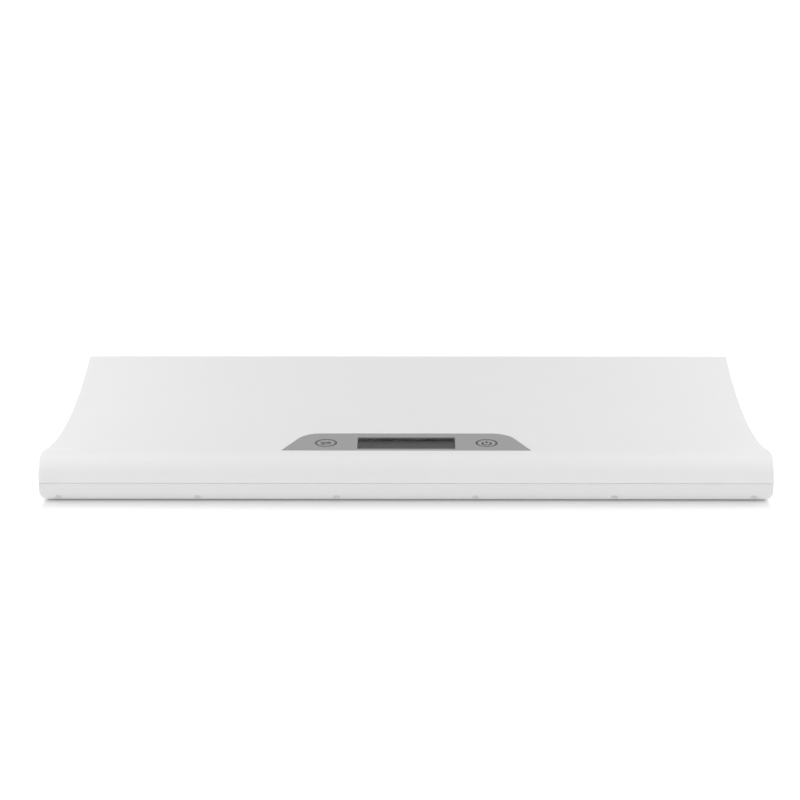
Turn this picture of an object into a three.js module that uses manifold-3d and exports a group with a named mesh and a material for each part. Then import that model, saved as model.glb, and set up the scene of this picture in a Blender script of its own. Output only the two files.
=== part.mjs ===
// Digital baby weighing scale: a wide cradle tray on a shallow base, with a tilted console at the front.
// Millimetres, +Z up, +X to the right, front towards -Y. The origin lies on the floor under the middle.

import * as THREE from 'three';
import { mergeVertices } from 'three/addons/utils/BufferGeometryUtils.js';
import Module from 'manifold-3d';

const wasm = await Module();
wasm.setup();

// Housing, outside
const width = 550;
const depth = 320;
const baseLift = 1.5; // the feet carry the base this far off the floor
const noseRadius = 16; // bull nose along the front
const chinAngle = 13; // degrees past the vertical, where the nose runs straight on to the front edge
const chinRadius = 0.5; // of that edge
const crownRadius = 125; // nearly flat top of the nose
const crownRun = 10; // from the top of the nose back to the crease
const trayDip = 19.9; // height of the tray's lowest line
const lipRadius = 1.5; // back edge of the tray
const backLean = 6; // degrees by which the back wall leans in
const backCornerRadius = 6;
const endRadius = 1.2; // rounding of both ends
const keelRadius = 6; // rounding of the base's underside towards both ends

// Housing, inside
const wall = 2.4;
const seamHeight = 14.7; // split between the tray shell and the base shell
const seamGap = 0.3;
const tongueWall = 1.4; // the base's inner lip, which locates the tray shell
const tongueRise = 2.5;
const tongueRoot = 3;
const seatGap = 0.3; // between pieces that seat on each other
const overrun = 1; // every cut and join runs this far past what it cuts or joins

// Ribs under the tray and on the base's floor
const ribWall = 1.6;
const trayRibDepth = 4.5;
const trayRibMargin = 51; // from the front and back edges to the outer ribs along X
const trayLongRibCount = 5;
const floorRibHeight = 4;
const floorRibEndMargin = 95; // from each end to the outer ribs
const floorRibCountX = 7;
const floorRibFrontMargin = 85;
const floorRibBackMargin = 75;
const floorRibCountY = 4;
const ribClear = 1.5; // what the ribs keep to the pieces inside

// Case screws, in a front row and a back row
const screwsPerRow = 6;
const screwEndInset = 14.5; // from each end to the outer screws
const screwInset = 13; // from the front edge to the front row
const backScrewInset = 18; // from the back edge to the back row
const screwHeadRadius = 2.4;
const screwHeadHeight = 1.9;
const screwHeadTopShare = 0.86; // of the head's radius, at its outer face
const screwRadius = 1.45;
const screwLength = 12;
const screwSocketRadius = 0.9;
const screwSocketDepth = 1;
const screwRecessRadius = 2.8;
const screwRecessDepth = 4.1;
const screwTowerRadius = 4.2;
const screwBossRadius = 3.5;
const screwTipRoom = 1.2; // of the pilot hole beyond the screw's tip

// Half-round marks along the base's front edge
const notchWidth = 5;
const notchLip = 0.8; // unbroken edge of the base under a mark
const notchReach = 4.4; // from the frontmost line to the end of a mark

// Feet and load cells
const footEndInset = 53; // from each end to the foot's middle
const footEdgeInset = 50; // from the front or back edge to it
const footPadRadius = 14.5;
const footPadHeight = 1.6;
const footCupRadius = 17;
const footCupRimDrop = 1.1;
const footCupHeight = 2.5;
const footPostRadius = 5;
const footPinRadius = 2;
const footPinRise = 2.6; // above the post, through the cell's hole
const footWellClear = 1.2;
const footWellRoom = 0.7; // over the cup, so that the cell can bend
const footWellRoof = 2;
const footPostClear = 3;
const cellSide = 34;
const cellThickness = 1.6;
const cellSlot = 1.6;
const cellTongueWidth = 13;
const cellTongueLength = 25;
const cellGaugeSide = 5;
const cellGaugeHeight = 0.8;
const cellRest = 2.8; // width of the ledge that carries the cell
const cellRestRise = 1.8; // of the ledge above the well's roof
const cellGuardWall = 2.2;
const clampHeight = 2;
const clampRim = 3.6;
const hookHeight = 1.2;
const hookReach = 1;
const hookWidth = 9;

// Console: its own frame starts just under the crease, runs up the panel and stands square to it
const consoleTilt = 5; // degrees
const consoleStep = 0.2; // of the panel's front edge below the crease
const panelFrontHalf = 94.7;
const panelLength = 38.6;
const panelSideSlope = 0.45; // how far a side runs in for each millimetre of length
const panelCornerRadius = 18.3;
const panelThickness = 1.2;
const consoleRim = 0.8; // white rim round the grey panel
const shoulderWidth = 2.4;
const shoulderDrop = 6;
const consoleDepth = 14;
const consoleSkin = 3;

// Display
const windowWidth = 74.3;
const windowLength = 25.7;
const windowStart = 4.6; // from the panel's front edge
const windowMargin = 2; // of the clear plate under the panel
const windowThickness = 1.2;
const windowCorner = 1;
const lcdSideMargin = 1.85; // of the glass beyond the window's sides
const lcdEndMargin = 1.65; // and beyond its front and back
const lcdThickness = 2.2;
const lcdLedge = 4; // the lower glass is this much longer, for the contacts
const lcdFrameWall = 2;
const lcdFrameDepth = 5.5;
const stripWidth = 2.2;
const boardSideMargin = 10.8; // of the board beyond the buttons' middles
const boardLength = 33;
const boardThickness = 1.6;
const chipSide = 12;
const chipHeight = 1.4;
const plugWidth = 9;
const plugLength = 5;
const plugHeight = 4.5;
const boardScrewSide = 7.7; // from the display frame's side to the screw
const boardScrewInset = 5;
const boardBossRadius = 2.5;
const boardScrewRadius = 0.9;
const boardScrewLength = 6;
const boardScrewHeadRadius = 1.9;
const boardScrewHeadHeight = 1.3;

// Buttons and their switches
const buttonSide = 24.05; // from the window's side to the button's middle
const buttonRadius = 6.8;
const buttonGap = 0.4;
const buttonCrown = 0.25;
const buttonFlange = 1.6; // beyond the cap, under the panel
const buttonFlangeHeight = 0.8;
const buttonTravel = 0.5;
const buttonStemRadius = 2.7;
const buttonStemLength = 4.4;
const switchSide = 6;
const switchHeight = 2.2;
const switchPlungerRadius = 1.6;
const switchPinSide = 0.8;

// Batteries, side by side under a cover that tips open on two tabs
const cellCount = 3;
const batteryRadius = 5.25;
const batteryLength = 44.5;
const batteryTipRadius = 1.9;
const batteryTipLength = 0.8;
const batteryPitch = 11.1;
const springLength = 5.9;
const springWire = 0.4; // radius of the wire
const springSmall = 1.5;
const springLarge = 3.8;
const springTurns = 4;
const contactSide = 9;
const contactThickness = 0.5;
const bayBackInset = 95; // from the back edge to the bay's middle
const bayWall = 1.6;
const baySideRoom = 0.5; // beside the outer batteries
const coverThickness = 2;
const coverMargin = 3.8; // of the cover beyond the bay
const coverCorner = 1;
const coverGap = 0.4;
const bayLedge = 1.8;
const bayPadMargin = 3; // of the thick floor beyond the cover
const tabX = 16;
const tabWidth = 8;
const tabReach = 2.6;
const tabThickness = 1.4;
const tabLipHeight = 2.1; // of the floor left under a tab
const latchWidth = 12;
const latchWall = 1;
const latchRise = 5;
const latchBend = 1.4;
const latchRoom = 1.2;
const gripGrooves = 5;
const gripPitch = 2.4;
const gripStart = 4.8; // from the latch edge to the first groove
const gripWidth = 22;
const gripDepth = 0.5;

// Leads
const leadRadius = 1.1;
const leadBend = 4;
const leadDrop = 12; // length over which a lead comes down to the floor or steps aside
const rearLaneStep = 14; // from the frontmost floor rib to the rear leads' turn towards the middle
const batteryLeadX = 10;
const leadPlugX = 34; // of the outermost lead's plug on the board
const leadPlugCount = 5;

// Counts of facets
const noseFacets = 9;
const crownFacets = 3;
const trayFacets = 16;
const cornerFacets = 4;
const endFacets = 2;
const keelFacets = 3;
const chinFacets = 2;
const cylinderFacets = 12;
const socketFacets = 6;
const footFacets = 20;
const buttonFacets = 24;
const leadFacets = 6;
const bendFacets = 2;
const springSteps = 7;
const springFacets = 4;

// Finishes
function finish(color, roughness, metalness = 0) {
  return new THREE.MeshStandardMaterial({ color, roughness, metalness });
}

const shellWhite = finish(0xe9e9e9, 0.42);
const baseWhite = finish(0xe4e4e4, 0.46);
const panelGrey = finish(0x9b9b9b, 0.5);
const buttonGrey = finish(0xa0a0a0, 0.48);
const clearPlate = finish(0x4a4c4b, 0.12);
const lcdDark = finish(0x3a3d3b, 0.2);
const frameWhite = finish(0xd8d8d4, 0.6);
const boardGreen = finish(0x2f6b45, 0.55);
const rubberGrey = finish(0x5b5b5b, 0.9);
const steel = finish(0xb5b7b8, 0.35, 1);
const switchBlack = finish(0x26272a, 0.5);
const batterySleeve = finish(0x3d4a58, 0.35);
const leadGrey = finish(0x8d8d8d, 0.6);

// Solids from geometries and back
function solid(geometry) {
  const bare = geometry.clone();
  bare.deleteAttribute('normal');
  bare.deleteAttribute('uv');
  const merged = mergeVertices(bare);
  return new wasm.Manifold(
    new wasm.Mesh({
      numProp: 3,
      vertProperties: new Float32Array(merged.attributes.position.array),
      triVerts: new Uint32Array(merged.index.array),
    }),
  );
}

function geometryOf(body) {
  const mesh = body.getMesh();
  const geometry = new THREE.BufferGeometry();
  geometry.setAttribute('position', new THREE.BufferAttribute(new Float32Array(mesh.vertProperties), 3));
  geometry.setIndex(new THREE.BufferAttribute(new Uint32Array(mesh.triVerts), 1));
  geometry.computeVertexNormals();
  return geometry;
}

const joined = (bodies) => bodies.reduce((whole, body) => whole.add(body));
const without = (body, cuts) => cuts.reduce((rest, cut) => rest.subtract(cut), body);

// A box from its lowest to its highest corner
function box(x0, x1, y0, y1, z0, z1) {
  const geometry = new THREE.BoxGeometry(x1 - x0, y1 - y0, z1 - z0);
  geometry.translate((x0 + x1) / 2, (y0 + y1) / 2, (z0 + z1) / 2);
  return solid(geometry);
}

// An upright cylinder, or a cone where topRadius is given
function post(x, y, z0, z1, radius, facets = cylinderFacets, topRadius = radius) {
  const geometry = new THREE.CylinderGeometry(topRadius, radius, z1 - z0, facets);
  geometry.rotateX(Math.PI / 2);
  geometry.translate(x, y, (z0 + z1) / 2);
  return solid(geometry);
}

// An outline in the XY plane carried from z0 up to z1
function slab(shape, z0, z1) {
  const geometry = new THREE.ExtrudeGeometry(shape, { depth: z1 - z0, bevelEnabled: false });
  geometry.translate(0, 0, z0);
  return solid(geometry);
}

// Outlines in the YZ plane, with as many points each, joined one to the next along X and closed at both ends
function loft(rings) {
  const count = rings[0].outline.length;
  const last = (rings.length - 1) * count;
  const positions = rings.flatMap(({ x, outline }) => outline.flatMap((point) => [x, point.x, point.y]));
  const index = [];
  for (let start = 0; start < last; start += count) {
    for (let i = 0; i < count; i += 1) {
      const next = (i + 1) % count;
      index.push(start + i, start + next, start + count + next);
      index.push(start + i, start + count + next, start + count + i);
    }
  }
  for (const [a, b, c] of THREE.ShapeUtils.triangulateShape(rings[0].outline, [])) {
    index.push(a, c, b, last + a, last + b, last + c);
  }
  const geometry = new THREE.BufferGeometry();
  geometry.setAttribute('position', new THREE.BufferAttribute(new Float32Array(positions), 3));
  geometry.setIndex(index);
  return solid(geometry);
}

// An outline in the YZ plane carried along X from x0 to x1
function bar(points, x0, x1) {
  const outline = THREE.ShapeUtils.isClockWise(points) ? [...points].reverse() : points;
  return loft([x0, x1].map((x) => ({ x, outline })));
}

// Points of an arc round (u, v), from one angle to another, in radians
function arc(u, v, radius, from, to, facets) {
  const points = [];
  for (let i = 0; i <= facets; i += 1) {
    const angle = from + ((to - from) * i) / facets;
    points.push(new THREE.Vector2(u + radius * Math.cos(angle), v + radius * Math.sin(angle)));
  }
  return points;
}

function roundedRectangle(x0, x1, y0, y1, radius) {
  const quarter = Math.PI / 2;
  return new THREE.Shape([
    ...arc(x1 - radius, y0 + radius, radius, -quarter, 0, cornerFacets),
    ...arc(x1 - radius, y1 - radius, radius, 0, quarter, cornerFacets),
    ...arc(x0 + radius, y1 - radius, radius, quarter, 2 * quarter, cornerFacets),
    ...arc(x0 + radius, y0 + radius, radius, 2 * quarter, 3 * quarter, cornerFacets),
  ]);
}

function rectangle(x0, x1, y0, y1) {
  return new THREE.Shape([
    new THREE.Vector2(x0, y0),
    new THREE.Vector2(x1, y0),
    new THREE.Vector2(x1, y1),
    new THREE.Vector2(x0, y1),
  ]);
}

// Ribs crossing at right angles on the lines given; those along Y stand a little lower than those along X
function ribGrid(xs, ys, z0, z1) {
  const half = ribWall / 2;
  const alongY = xs.map((x) => box(x - half, x + half, ys[0], ys.at(-1), z0 + seatGap, z1 - seatGap));
  const alongX = ys.map((y) => box(xs[0], xs.at(-1), y - half, y + half, z0, z1));
  return joined([...alongY, ...alongX]);
}

// Evenly spaced places from one value to another
function evenly(count, from, to) {
  return Array.from({ length: count }, (_, i) => from + ((to - from) * i) / (count - 1));
}

// Cross-section of the housing. Every line and arc is set in by the same amount, so that it also gives the
// inside of the wall. The tray is one arc through the crease with its lowest line in the middle.
const degree = Math.PI / 180;
const frontY = -depth / 2;
const backY = depth / 2;
const endX = width / 2;
const noseY = frontY + noseRadius;
const noseZ = baseLift + noseRadius;
const noseTop = noseZ + noseRadius;
const crownZ = noseTop - crownRadius;
const creaseY = noseY + crownRun;
const creaseZ = crownZ + Math.sqrt(crownRadius ** 2 - crownRun ** 2);
const trayRise = creaseZ - trayDip;
const trayRadius = (creaseY ** 2 + trayRise ** 2) / (2 * trayRise);
const trayZ = trayDip + trayRadius;
const lean = backLean * degree;
const chin = chinAngle * degree;
const lipReach = trayRadius + lipRadius;
const lipY = backY - lipRadius;
const lipZ = trayZ - Math.sqrt(lipReach ** 2 - lipY ** 2);
const backLine = lipY * Math.cos(lean) - lipZ * Math.sin(lean) + lipRadius;

// Where the crown's circle, made smaller by the inset, meets the tray's, made larger by it
function creaseOf(inset) {
  const near = crownRadius - inset;
  const far = trayRadius + inset;
  const spanY = -noseY;
  const spanZ = trayZ - crownZ;
  const span = Math.hypot(spanY, spanZ);
  const along = (near ** 2 - far ** 2 + span ** 2) / (2 * span);
  const aside = Math.sqrt(Math.max(near ** 2 - along ** 2, 0));
  return new THREE.Vector2(
    noseY + (along * spanY - aside * spanZ) / span,
    crownZ + (along * spanZ + aside * spanY) / span,
  );
}

// The section set in by an inset, with its underside raised by a further amount
function housingSection(inset, raise = 0) {
  const quarter = Math.PI / 2;
  const underside = baseLift + raise;
  const lip = Math.max(lipRadius - inset, seatGap);
  const away = backLine - inset - lip;
  const reach = trayRadius + inset + lip;
  const foot = new THREE.Vector2(away * Math.cos(lean), -away * Math.sin(lean));
  const side = (foot.y - trayZ) * Math.cos(lean) + foot.x * Math.sin(lean);
  const rest = foot.x ** 2 + (foot.y - trayZ) ** 2 - reach ** 2;
  const slide = -side - Math.sqrt(side ** 2 - rest);
  const lipCentre = new THREE.Vector2(foot.x + slide * Math.sin(lean), foot.y + slide * Math.cos(lean));
  const corner = Math.max(backCornerRadius - inset, seatGap);
  const cornerZ = underside + inset + corner;
  const cornerY = (backLine - inset - corner + cornerZ * Math.sin(lean)) / Math.cos(lean);
  const edge = Math.max(chinRadius - inset, seatGap);
  const edgeZ = underside + inset + edge;
  const edgeReach = noseRadius - inset - edge;
  const edgeRun = (noseZ - edgeReach * Math.sin(chin) - edgeZ) / Math.cos(chin);
  const edgeY = noseY - edgeReach * Math.cos(chin) + edgeRun * Math.sin(chin);
  const crease = creaseOf(inset);
  const trayBack = Math.atan2(trayZ - lipCentre.y, -lipCentre.x);
  const trayFront = Math.atan2(crease.y - trayZ, crease.x);
  const crownBack = Math.atan2(crease.y - crownZ, crease.x - noseY);
  return [
    ...arc(cornerY, cornerZ, corner, -quarter, -lean, cornerFacets),
    ...arc(lipCentre.x, lipCentre.y, lip, -lean, trayBack, cornerFacets),
    ...arc(0, trayZ, trayRadius + inset, trayBack - Math.PI, trayFront, trayFacets).slice(1),
    ...arc(noseY, crownZ, crownRadius - inset, crownBack, quarter, crownFacets).slice(1, -1),
    ...arc(noseY, noseZ, noseRadius - inset, quarter, 2 * quarter + chin, noseFacets),
    ...arc(edgeY, edgeZ, edge, 2 * quarter + chin, 3 * quarter, chinFacets),
  ];
}

// The whole housing set in by an inset, with plain ends
const housing = (inset) => bar(housingSection(inset), inset - endX, endX - inset);

// How far a rounding of a radius has drawn in at a distance from the end
function drawnIn(radius, away) {
  return away < radius ? radius - Math.sqrt(radius ** 2 - (radius - away) ** 2) : 0;
}

// Distances from the end at which a rounding of a radius turns by equal angles
function roundingSteps(radius, facets) {
  return Array.from({ length: facets + 1 }, (_, i) => radius * (1 - Math.cos((Math.PI * i) / (2 * facets))));
}

// The housing's outer form: towards both ends the section is set in along a small quarter circle, and its
// underside rises along a larger one
function roundedHousing() {
  const steps = new Set([...roundingSteps(endRadius, endFacets), ...roundingSteps(keelRadius, keelFacets)]);
  const right = [...steps]
    .sort((a, b) => b - a)
    .map((away) => ({
      x: endX - away,
      outline: housingSection(drawnIn(endRadius, away), drawnIn(keelRadius, away)),
    }));
  const left = right.map(({ x, outline }) => ({ x: -x, outline })).reverse();
  return loft([...left, ...right]);
}

const layer = (z0, z1) => box(-endX - overrun, endX + overrun, frontY - overrun, backY + overrun, z0, z1);

// Console frame: u along X, s up the panel, n square to it; the panel's top face is n = 0
const tilt = consoleTilt * degree;
const consoleFrame = new THREE.Matrix4()
  .makeTranslation(0, creaseY, creaseZ - consoleStep)
  .multiply(new THREE.Matrix4().makeRotationX(tilt));

function toHousing(body) {
  return solid(geometryOf(body).applyMatrix4(consoleFrame));
}

// Outline of the panel, grown on its sides and back, starting at a given s
function panelShape(grow, front) {
  const stretch = Math.hypot(1, panelSideSlope);
  const centreS = panelLength - panelCornerRadius;
  const centreU = panelFrontHalf - panelSideSlope * centreS - panelCornerRadius * stretch;
  const radius = panelCornerRadius + grow;
  const start = Math.atan(panelSideSlope);
  const halfFront = panelFrontHalf - panelSideSlope * front + grow * stretch;
  const right = arc(centreU, centreS, radius, start, Math.PI / 2, cornerFacets);
  const left = right.map((p) => new THREE.Vector2(-p.x, p.y)).reverse();
  return new THREE.Shape([
    new THREE.Vector2(-halfFront, front),
    new THREE.Vector2(halfFront, front),
    ...right,
    ...left,
  ]);
}

const windowEnd = windowStart + windowLength;
const lcdWidth = windowWidth + 2 * lcdSideMargin;
const lcdLength = windowLength + 2 * lcdEndMargin;
const buttonX = windowWidth / 2 + buttonSide;
const boardWidth = 2 * (buttonX + boardSideMargin);
const boardScrewX = lcdWidth / 2 + seatGap + lcdFrameWall + boardScrewSide;
const consoleS = (windowStart + windowEnd) / 2; // middle of the window and of the buttons
const recessFloor = -(panelThickness + seatGap);
const skinUnder = recessFloor - consoleSkin;
const boardTop = skinUnder - seatGap - lcdFrameDepth - seatGap;
const boardUnder = boardTop - boardThickness;
const boardStart = consoleS - boardLength / 2;
const boardEnd = consoleS + boardLength / 2;
const sides = [-1, 1];
const boardScrewPlaces = sides.flatMap((side) =>
  [boardStart + boardScrewInset, boardEnd - boardScrewInset].map((s) => [side * boardScrewX, s]),
);

// Places of the case screws, the feet and the floor's ribs
const rowX = evenly(screwsPerRow, -endX + screwEndInset, endX - screwEndInset);
const frontRowY = frontY + screwInset;
const backRowY = backY - backScrewInset;
const screwPlaces = [frontRowY, backRowY].flatMap((y) => rowX.map((x) => [x, y]));
const screwSeat = baseLift + screwRecessDepth;
const screwTowerTop = screwSeat + wall;
const floorTop = baseLift + wall;
const tongueInset = wall + seatGap;
const tongueTop = seamHeight + tongueRise;
const ribXs = evenly(floorRibCountX, -endX + floorRibEndMargin, endX - floorRibEndMargin);
const ribYs = evenly(floorRibCountY, frontY + floorRibFrontMargin, backY - floorRibBackMargin);
const footX = endX - footEndInset;
const footY = backY - footEdgeInset;
const feet = [
  ['front_left', -footX, -footY],
  ['front_right', footX, -footY],
  ['rear_left', -footX, footY],
  ['rear_right', footX, footY],
];

// Heights of the foot and load cell stack
const cupUnder = footPadHeight + seatGap;
const cupTop = cupUnder + footCupHeight;
const wellRoof = cupTop + footWellRoom;
const wellTop = wellRoof + footWellRoof;
const cellSeat = wellTop + cellRestRise;
const cellUnder = cellSeat + seatGap;
const cellTop = cellUnder + cellThickness;
const clampUnder = cellTop + cellGaugeHeight + seatGap;
const clampTop = clampUnder + clampHeight;
const guardTop = clampTop + seatGap + hookHeight;

// Battery bay
const bayY = backY - bayBackInset;
const bayHalfX = (springLength + batteryLength + 2 * contactThickness + 4 * seatGap) / 2;
const cellSpan = ((cellCount - 1) * batteryPitch) / 2; // from the middle to the outer batteries
const bayHalfY = cellSpan + batteryRadius + baySideRoom;
const coverHalfX = bayHalfX + coverMargin;
const coverHalfY = bayHalfY + coverMargin;
const coverTop = baseLift + coverThickness;
const bayLedgeUnder = coverTop + seatGap;
const bayPadTop = bayLedgeUnder + bayLedge;
const batteryZ = coverTop + seatGap + batteryRadius;
const bayRoof = batteryZ + batteryRadius + seatGap;
const bayTop = bayRoof + bayWall;
const hingeY = bayY + coverHalfY;
const latchY = bayY - coverHalfY;

// Tray shell: the cradle, its nose and console, ribs, screw bosses and board bosses
function trayShell() {
  const hump = new THREE.ExtrudeGeometry(panelShape(consoleRim, -crownRun / 2), {
    depth: consoleDepth - shoulderDrop,
    bevelThickness: shoulderDrop,
    bevelSize: shoulderWidth,
    bevelSegments: endFacets,
    curveSegments: cornerFacets,
  });
  hump.translate(0, 0, -consoleDepth);
  const humpTool = solid(hump).intersect(slab(rectangle(-endX, endX, -depth, depth), -consoleDepth, overrun));
  const outside = roundedHousing().add(toHousing(humpTool)).intersect(layer(seamHeight, noseTop + depth));
  const skin = slab(panelShape(consoleRim + shoulderWidth, -crownRun / 2), skinUnder, overrun);
  const humpRoom = slab(panelShape(consoleRim, seatGap), -2 * consoleDepth, skinUnder);
  const shell = outside.subtract(housing(wall).subtract(toHousing(skin))).subtract(toHousing(humpRoom));

  const ribZone = housing(wall - seatGap)
    .subtract(housing(wall + trayRibDepth))
    .intersect(layer(tongueTop + ribClear, noseTop + depth));
  const longRibYs = evenly(trayLongRibCount, frontY + trayRibMargin, backY - trayRibMargin);
  const grid = ribGrid(rowX, longRibYs, 0, noseTop + trayRise);
  const consoleHalf = panelFrontHalf + shoulderWidth + ribClear;
  const consoleBack = creaseY + panelLength + shoulderWidth + ribClear;
  const keepOuts = [
    box(-consoleHalf, consoleHalf, frontY, consoleBack, 0, noseTop + depth),
    box(
      -bayHalfX - bayWall - ribClear,
      bayHalfX + bayWall + ribClear,
      bayY - bayHalfY - bayWall - ribClear,
      bayY + bayHalfY + bayWall + ribClear,
      0,
      bayTop + ribClear,
    ),
  ];
  const ribs = without(grid.intersect(ribZone), keepOuts);

  const bosses = screwPlaces.map(([x, y]) =>
    post(x, y, screwTowerTop + seatGap, noseTop + trayRise, screwBossRadius).intersect(housing(wall / 2)),
  );
  const pilots = screwPlaces.map(([x, y]) =>
    post(x, y, 0, screwSeat - seatGap + screwLength + screwTipRoom, screwRadius + seatGap),
  );
  const boardBosses = boardScrewPlaces.map(([u, s]) =>
    toHousing(post(u, s, boardTop + seatGap, skinUnder + overrun, boardBossRadius)),
  );
  const boardPilots = boardScrewPlaces.map(([u, s]) =>
    toHousing(post(u, s, boardUnder, boardUnder + boardScrewLength, boardScrewRadius + seatGap)),
  );

  const plateHalf = windowWidth / 2 + windowMargin + seatGap;
  const consoleCuts = [
    slab(panelShape(seatGap, 0), recessFloor, overrun),
    slab(
      roundedRectangle(
        -plateHalf,
        plateHalf,
        windowStart - windowMargin - seatGap,
        windowEnd + windowMargin + seatGap,
        windowCorner,
      ),
      recessFloor - windowThickness - seatGap,
      0,
    ),
    slab(
      roundedRectangle(
        -windowWidth / 2 - seatGap,
        windowWidth / 2 + seatGap,
        windowStart - seatGap,
        windowEnd + seatGap,
        windowCorner,
      ),
      skinUnder - overrun,
      0,
    ),
    ...sides.flatMap((side) => [
      post(
        side * buttonX,
        consoleS,
        recessFloor - buttonFlangeHeight - buttonTravel - seatGap,
        0,
        buttonRadius + buttonFlange + buttonGap,
        buttonFacets,
      ),
      post(side * buttonX, consoleS, skinUnder - overrun, 0, buttonStemRadius + buttonGap),
    ]),
  ].map(toHousing);

  const body = joined([shell, ribs, ...bosses, ...boardBosses]);
  return without(body, [...pilots, ...boardPilots, ...consoleCuts]);
}

// Walls that hold one load cell over its foot, with two hooks for the clamp
function cellSeatWalls(x, y) {
  const inner = cellSide / 2 + seatGap;
  const outer = inner + cellGuardWall;
  const rest = cellSide / 2 - cellRest;
  const block = box(x - outer, x + outer, y - outer, y + outer, baseLift + wall / 2, clampTop);
  const pocket = box(x - inner, x + inner, y - inner, y + inner, cellSeat, guardTop);
  const hooks = sides.map((side) => {
    const edge = y + side * inner;
    const hook = [
      new THREE.Vector2(edge + (side * cellGuardWall) / 2, clampTop - overrun),
      new THREE.Vector2(edge + (side * cellGuardWall) / 2, guardTop),
      new THREE.Vector2(edge, guardTop),
      new THREE.Vector2(edge - side * hookReach, clampTop + seatGap),
      new THREE.Vector2(edge + side * seatGap, clampTop + seatGap),
      new THREE.Vector2(edge + side * seatGap, clampTop - overrun),
    ];
    return bar(hook, x - hookWidth / 2, x + hookWidth / 2);
  });
  const room = box(x - rest, x + rest, y - rest, y + rest, wellTop, guardTop);
  const inward = -Math.sign(x);
  const leadGate = box(
    Math.min(x + inward * rest, x + inward * (outer + overrun)),
    Math.max(x + inward * rest, x + inward * (outer + overrun)),
    y - 2 * leadRadius,
    y + 2 * leadRadius,
    cellSeat,
    guardTop,
  );
  return joined([without(block, [pocket, room, leadGate]), ...hooks]);
}

// Bay for the batteries: thick floor round it, walls, roof, a pocket for the cover and slots for its tabs
function bayWalls() {
  const outerX = bayHalfX + bayWall;
  const outerY = bayHalfY + bayWall;
  const padX = coverHalfX + coverGap + bayPadMargin;
  const padY = coverHalfY + coverGap + bayPadMargin;
  const pad = box(-padX, padX, bayY - padY, bayY + padY, baseLift + wall / 2, bayPadTop);
  const walls = box(-outerX, outerX, bayY - outerY, bayY + outerY, floorTop, bayTop);
  return pad.add(walls);
}

function bayCuts() {
  const inside = box(-bayHalfX, bayHalfX, bayY - bayHalfY, bayY + bayHalfY, 0, bayRoof);
  const pocketX = coverHalfX + coverGap;
  const pocketY = coverHalfY + coverGap;
  const pocket = slab(
    roundedRectangle(-pocketX, pocketX, bayY - pocketY, bayY + pocketY, coverCorner + coverGap),
    0,
    bayLedgeUnder,
  );
  const tabSlots = sides.map((side) =>
    box(
      side * tabX - tabWidth / 2 - seatGap,
      side * tabX + tabWidth / 2 + seatGap,
      bayY + bayHalfY - seatGap,
      hingeY + coverGap + tabReach + seatGap,
      baseLift + tabLipHeight,
      bayPadTop + tabReach,
    ),
  );
  const latchFront = latchY - latchBend - latchWall - latchRoom;
  const latchSlot = box(
    -latchWidth / 2 - seatGap,
    latchWidth / 2 + seatGap,
    latchFront,
    bayY - bayHalfY + overrun,
    0,
    coverTop + latchRise + latchWall + latchRoom,
  );
  const grip = post(0, latchFront, 0, baseLift + wall / 2, latchWidth / 2 + latchRoom);
  return [inside, pocket, ...tabSlots, latchSlot, grip];
}

// Base shell: shallow tray with a locating lip, screw towers, foot wells, cell seats and the battery bay
function baseShell() {
  const shelf = seamHeight - seamGap;
  const outside = roundedHousing()
    .intersect(layer(0, shelf))
    .add(housing(tongueInset).intersect(layer(shelf - overrun, tongueTop)));
  const shell = without(outside, [
    housing(wall).intersect(layer(0, shelf - tongueRoot)),
    housing(tongueInset + tongueWall).intersect(layer(0, tongueTop + overrun)),
  ]);

  const grid = ribGrid(ribXs, ribYs, floorTop - overrun, floorTop + floorRibHeight);
  const leadNotch = box(
    batteryLeadX - 2 * leadRadius,
    batteryLeadX + 2 * leadRadius,
    ribYs[0] - overrun,
    bayY - bayHalfY - bayWall,
    floorTop,
    floorTop + floorRibHeight + overrun,
  );
  const ribs = grid.subtract(leadNotch);

  const towers = screwPlaces.map(([x, y]) => post(x, y, floorTop - seatGap, screwTowerTop, screwTowerRadius));
  const recesses = screwPlaces.map(([x, y]) => post(x, y, 0, screwSeat, screwRecessRadius));
  const screwHoles = screwPlaces.map(([x, y]) =>
    post(x, y, 0, screwTowerTop + overrun, screwRadius + seatGap),
  );
  const wells = feet.map(([, x, y]) => post(x, y, 0, wellRoof, footCupRadius + footWellClear, footFacets));
  const wellHoles = feet.map(([, x, y]) => post(x, y, 0, wellTop + overrun, footPostRadius + footPostClear));
  const notchRound = notchWidth / 2;
  const notches = rowX.map((x) => {
    const arch = new THREE.Shape([
      ...arc(x, baseLift + notchLip, notchRound, 0, Math.PI, 2 * cornerFacets),
    ]);
    const cut = new THREE.ExtrudeGeometry(arch, { depth: notchReach + overrun, bevelEnabled: false });
    cut.rotateX(Math.PI / 2);
    cut.translate(0, frontY + notchReach, 0);
    return solid(cut);
  });
  const seats = feet.map(([, x, y]) => cellSeatWalls(x, y));
  return without(joined([shell, ribs, ...towers, ...seats, bayWalls()]), [
    ...recesses,
    ...screwHoles,
    ...wells,
    ...wellHoles,
    ...notches,
    ...bayCuts(),
  ]);
}

// Foot: a cup that carries the cell's tongue on its post, and a rubber pad in the cup's rim
function footCup(x, y) {
  const disc = post(x, y, cupUnder - footCupRimDrop, cupTop, footCupRadius, footFacets);
  const room = post(x, y, 0, cupUnder, footPadRadius + seatGap, footFacets);
  const stem = post(x, y, cupTop - overrun, cellSeat, footPostRadius);
  const pin = post(x, y, cellSeat - overrun, cellSeat + footPinRise, footPinRadius);
  return joined([disc.subtract(room), stem, pin]);
}

const footPad = (x, y) => post(x, y, 0, footPadHeight, footPadRadius, footFacets);

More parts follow.
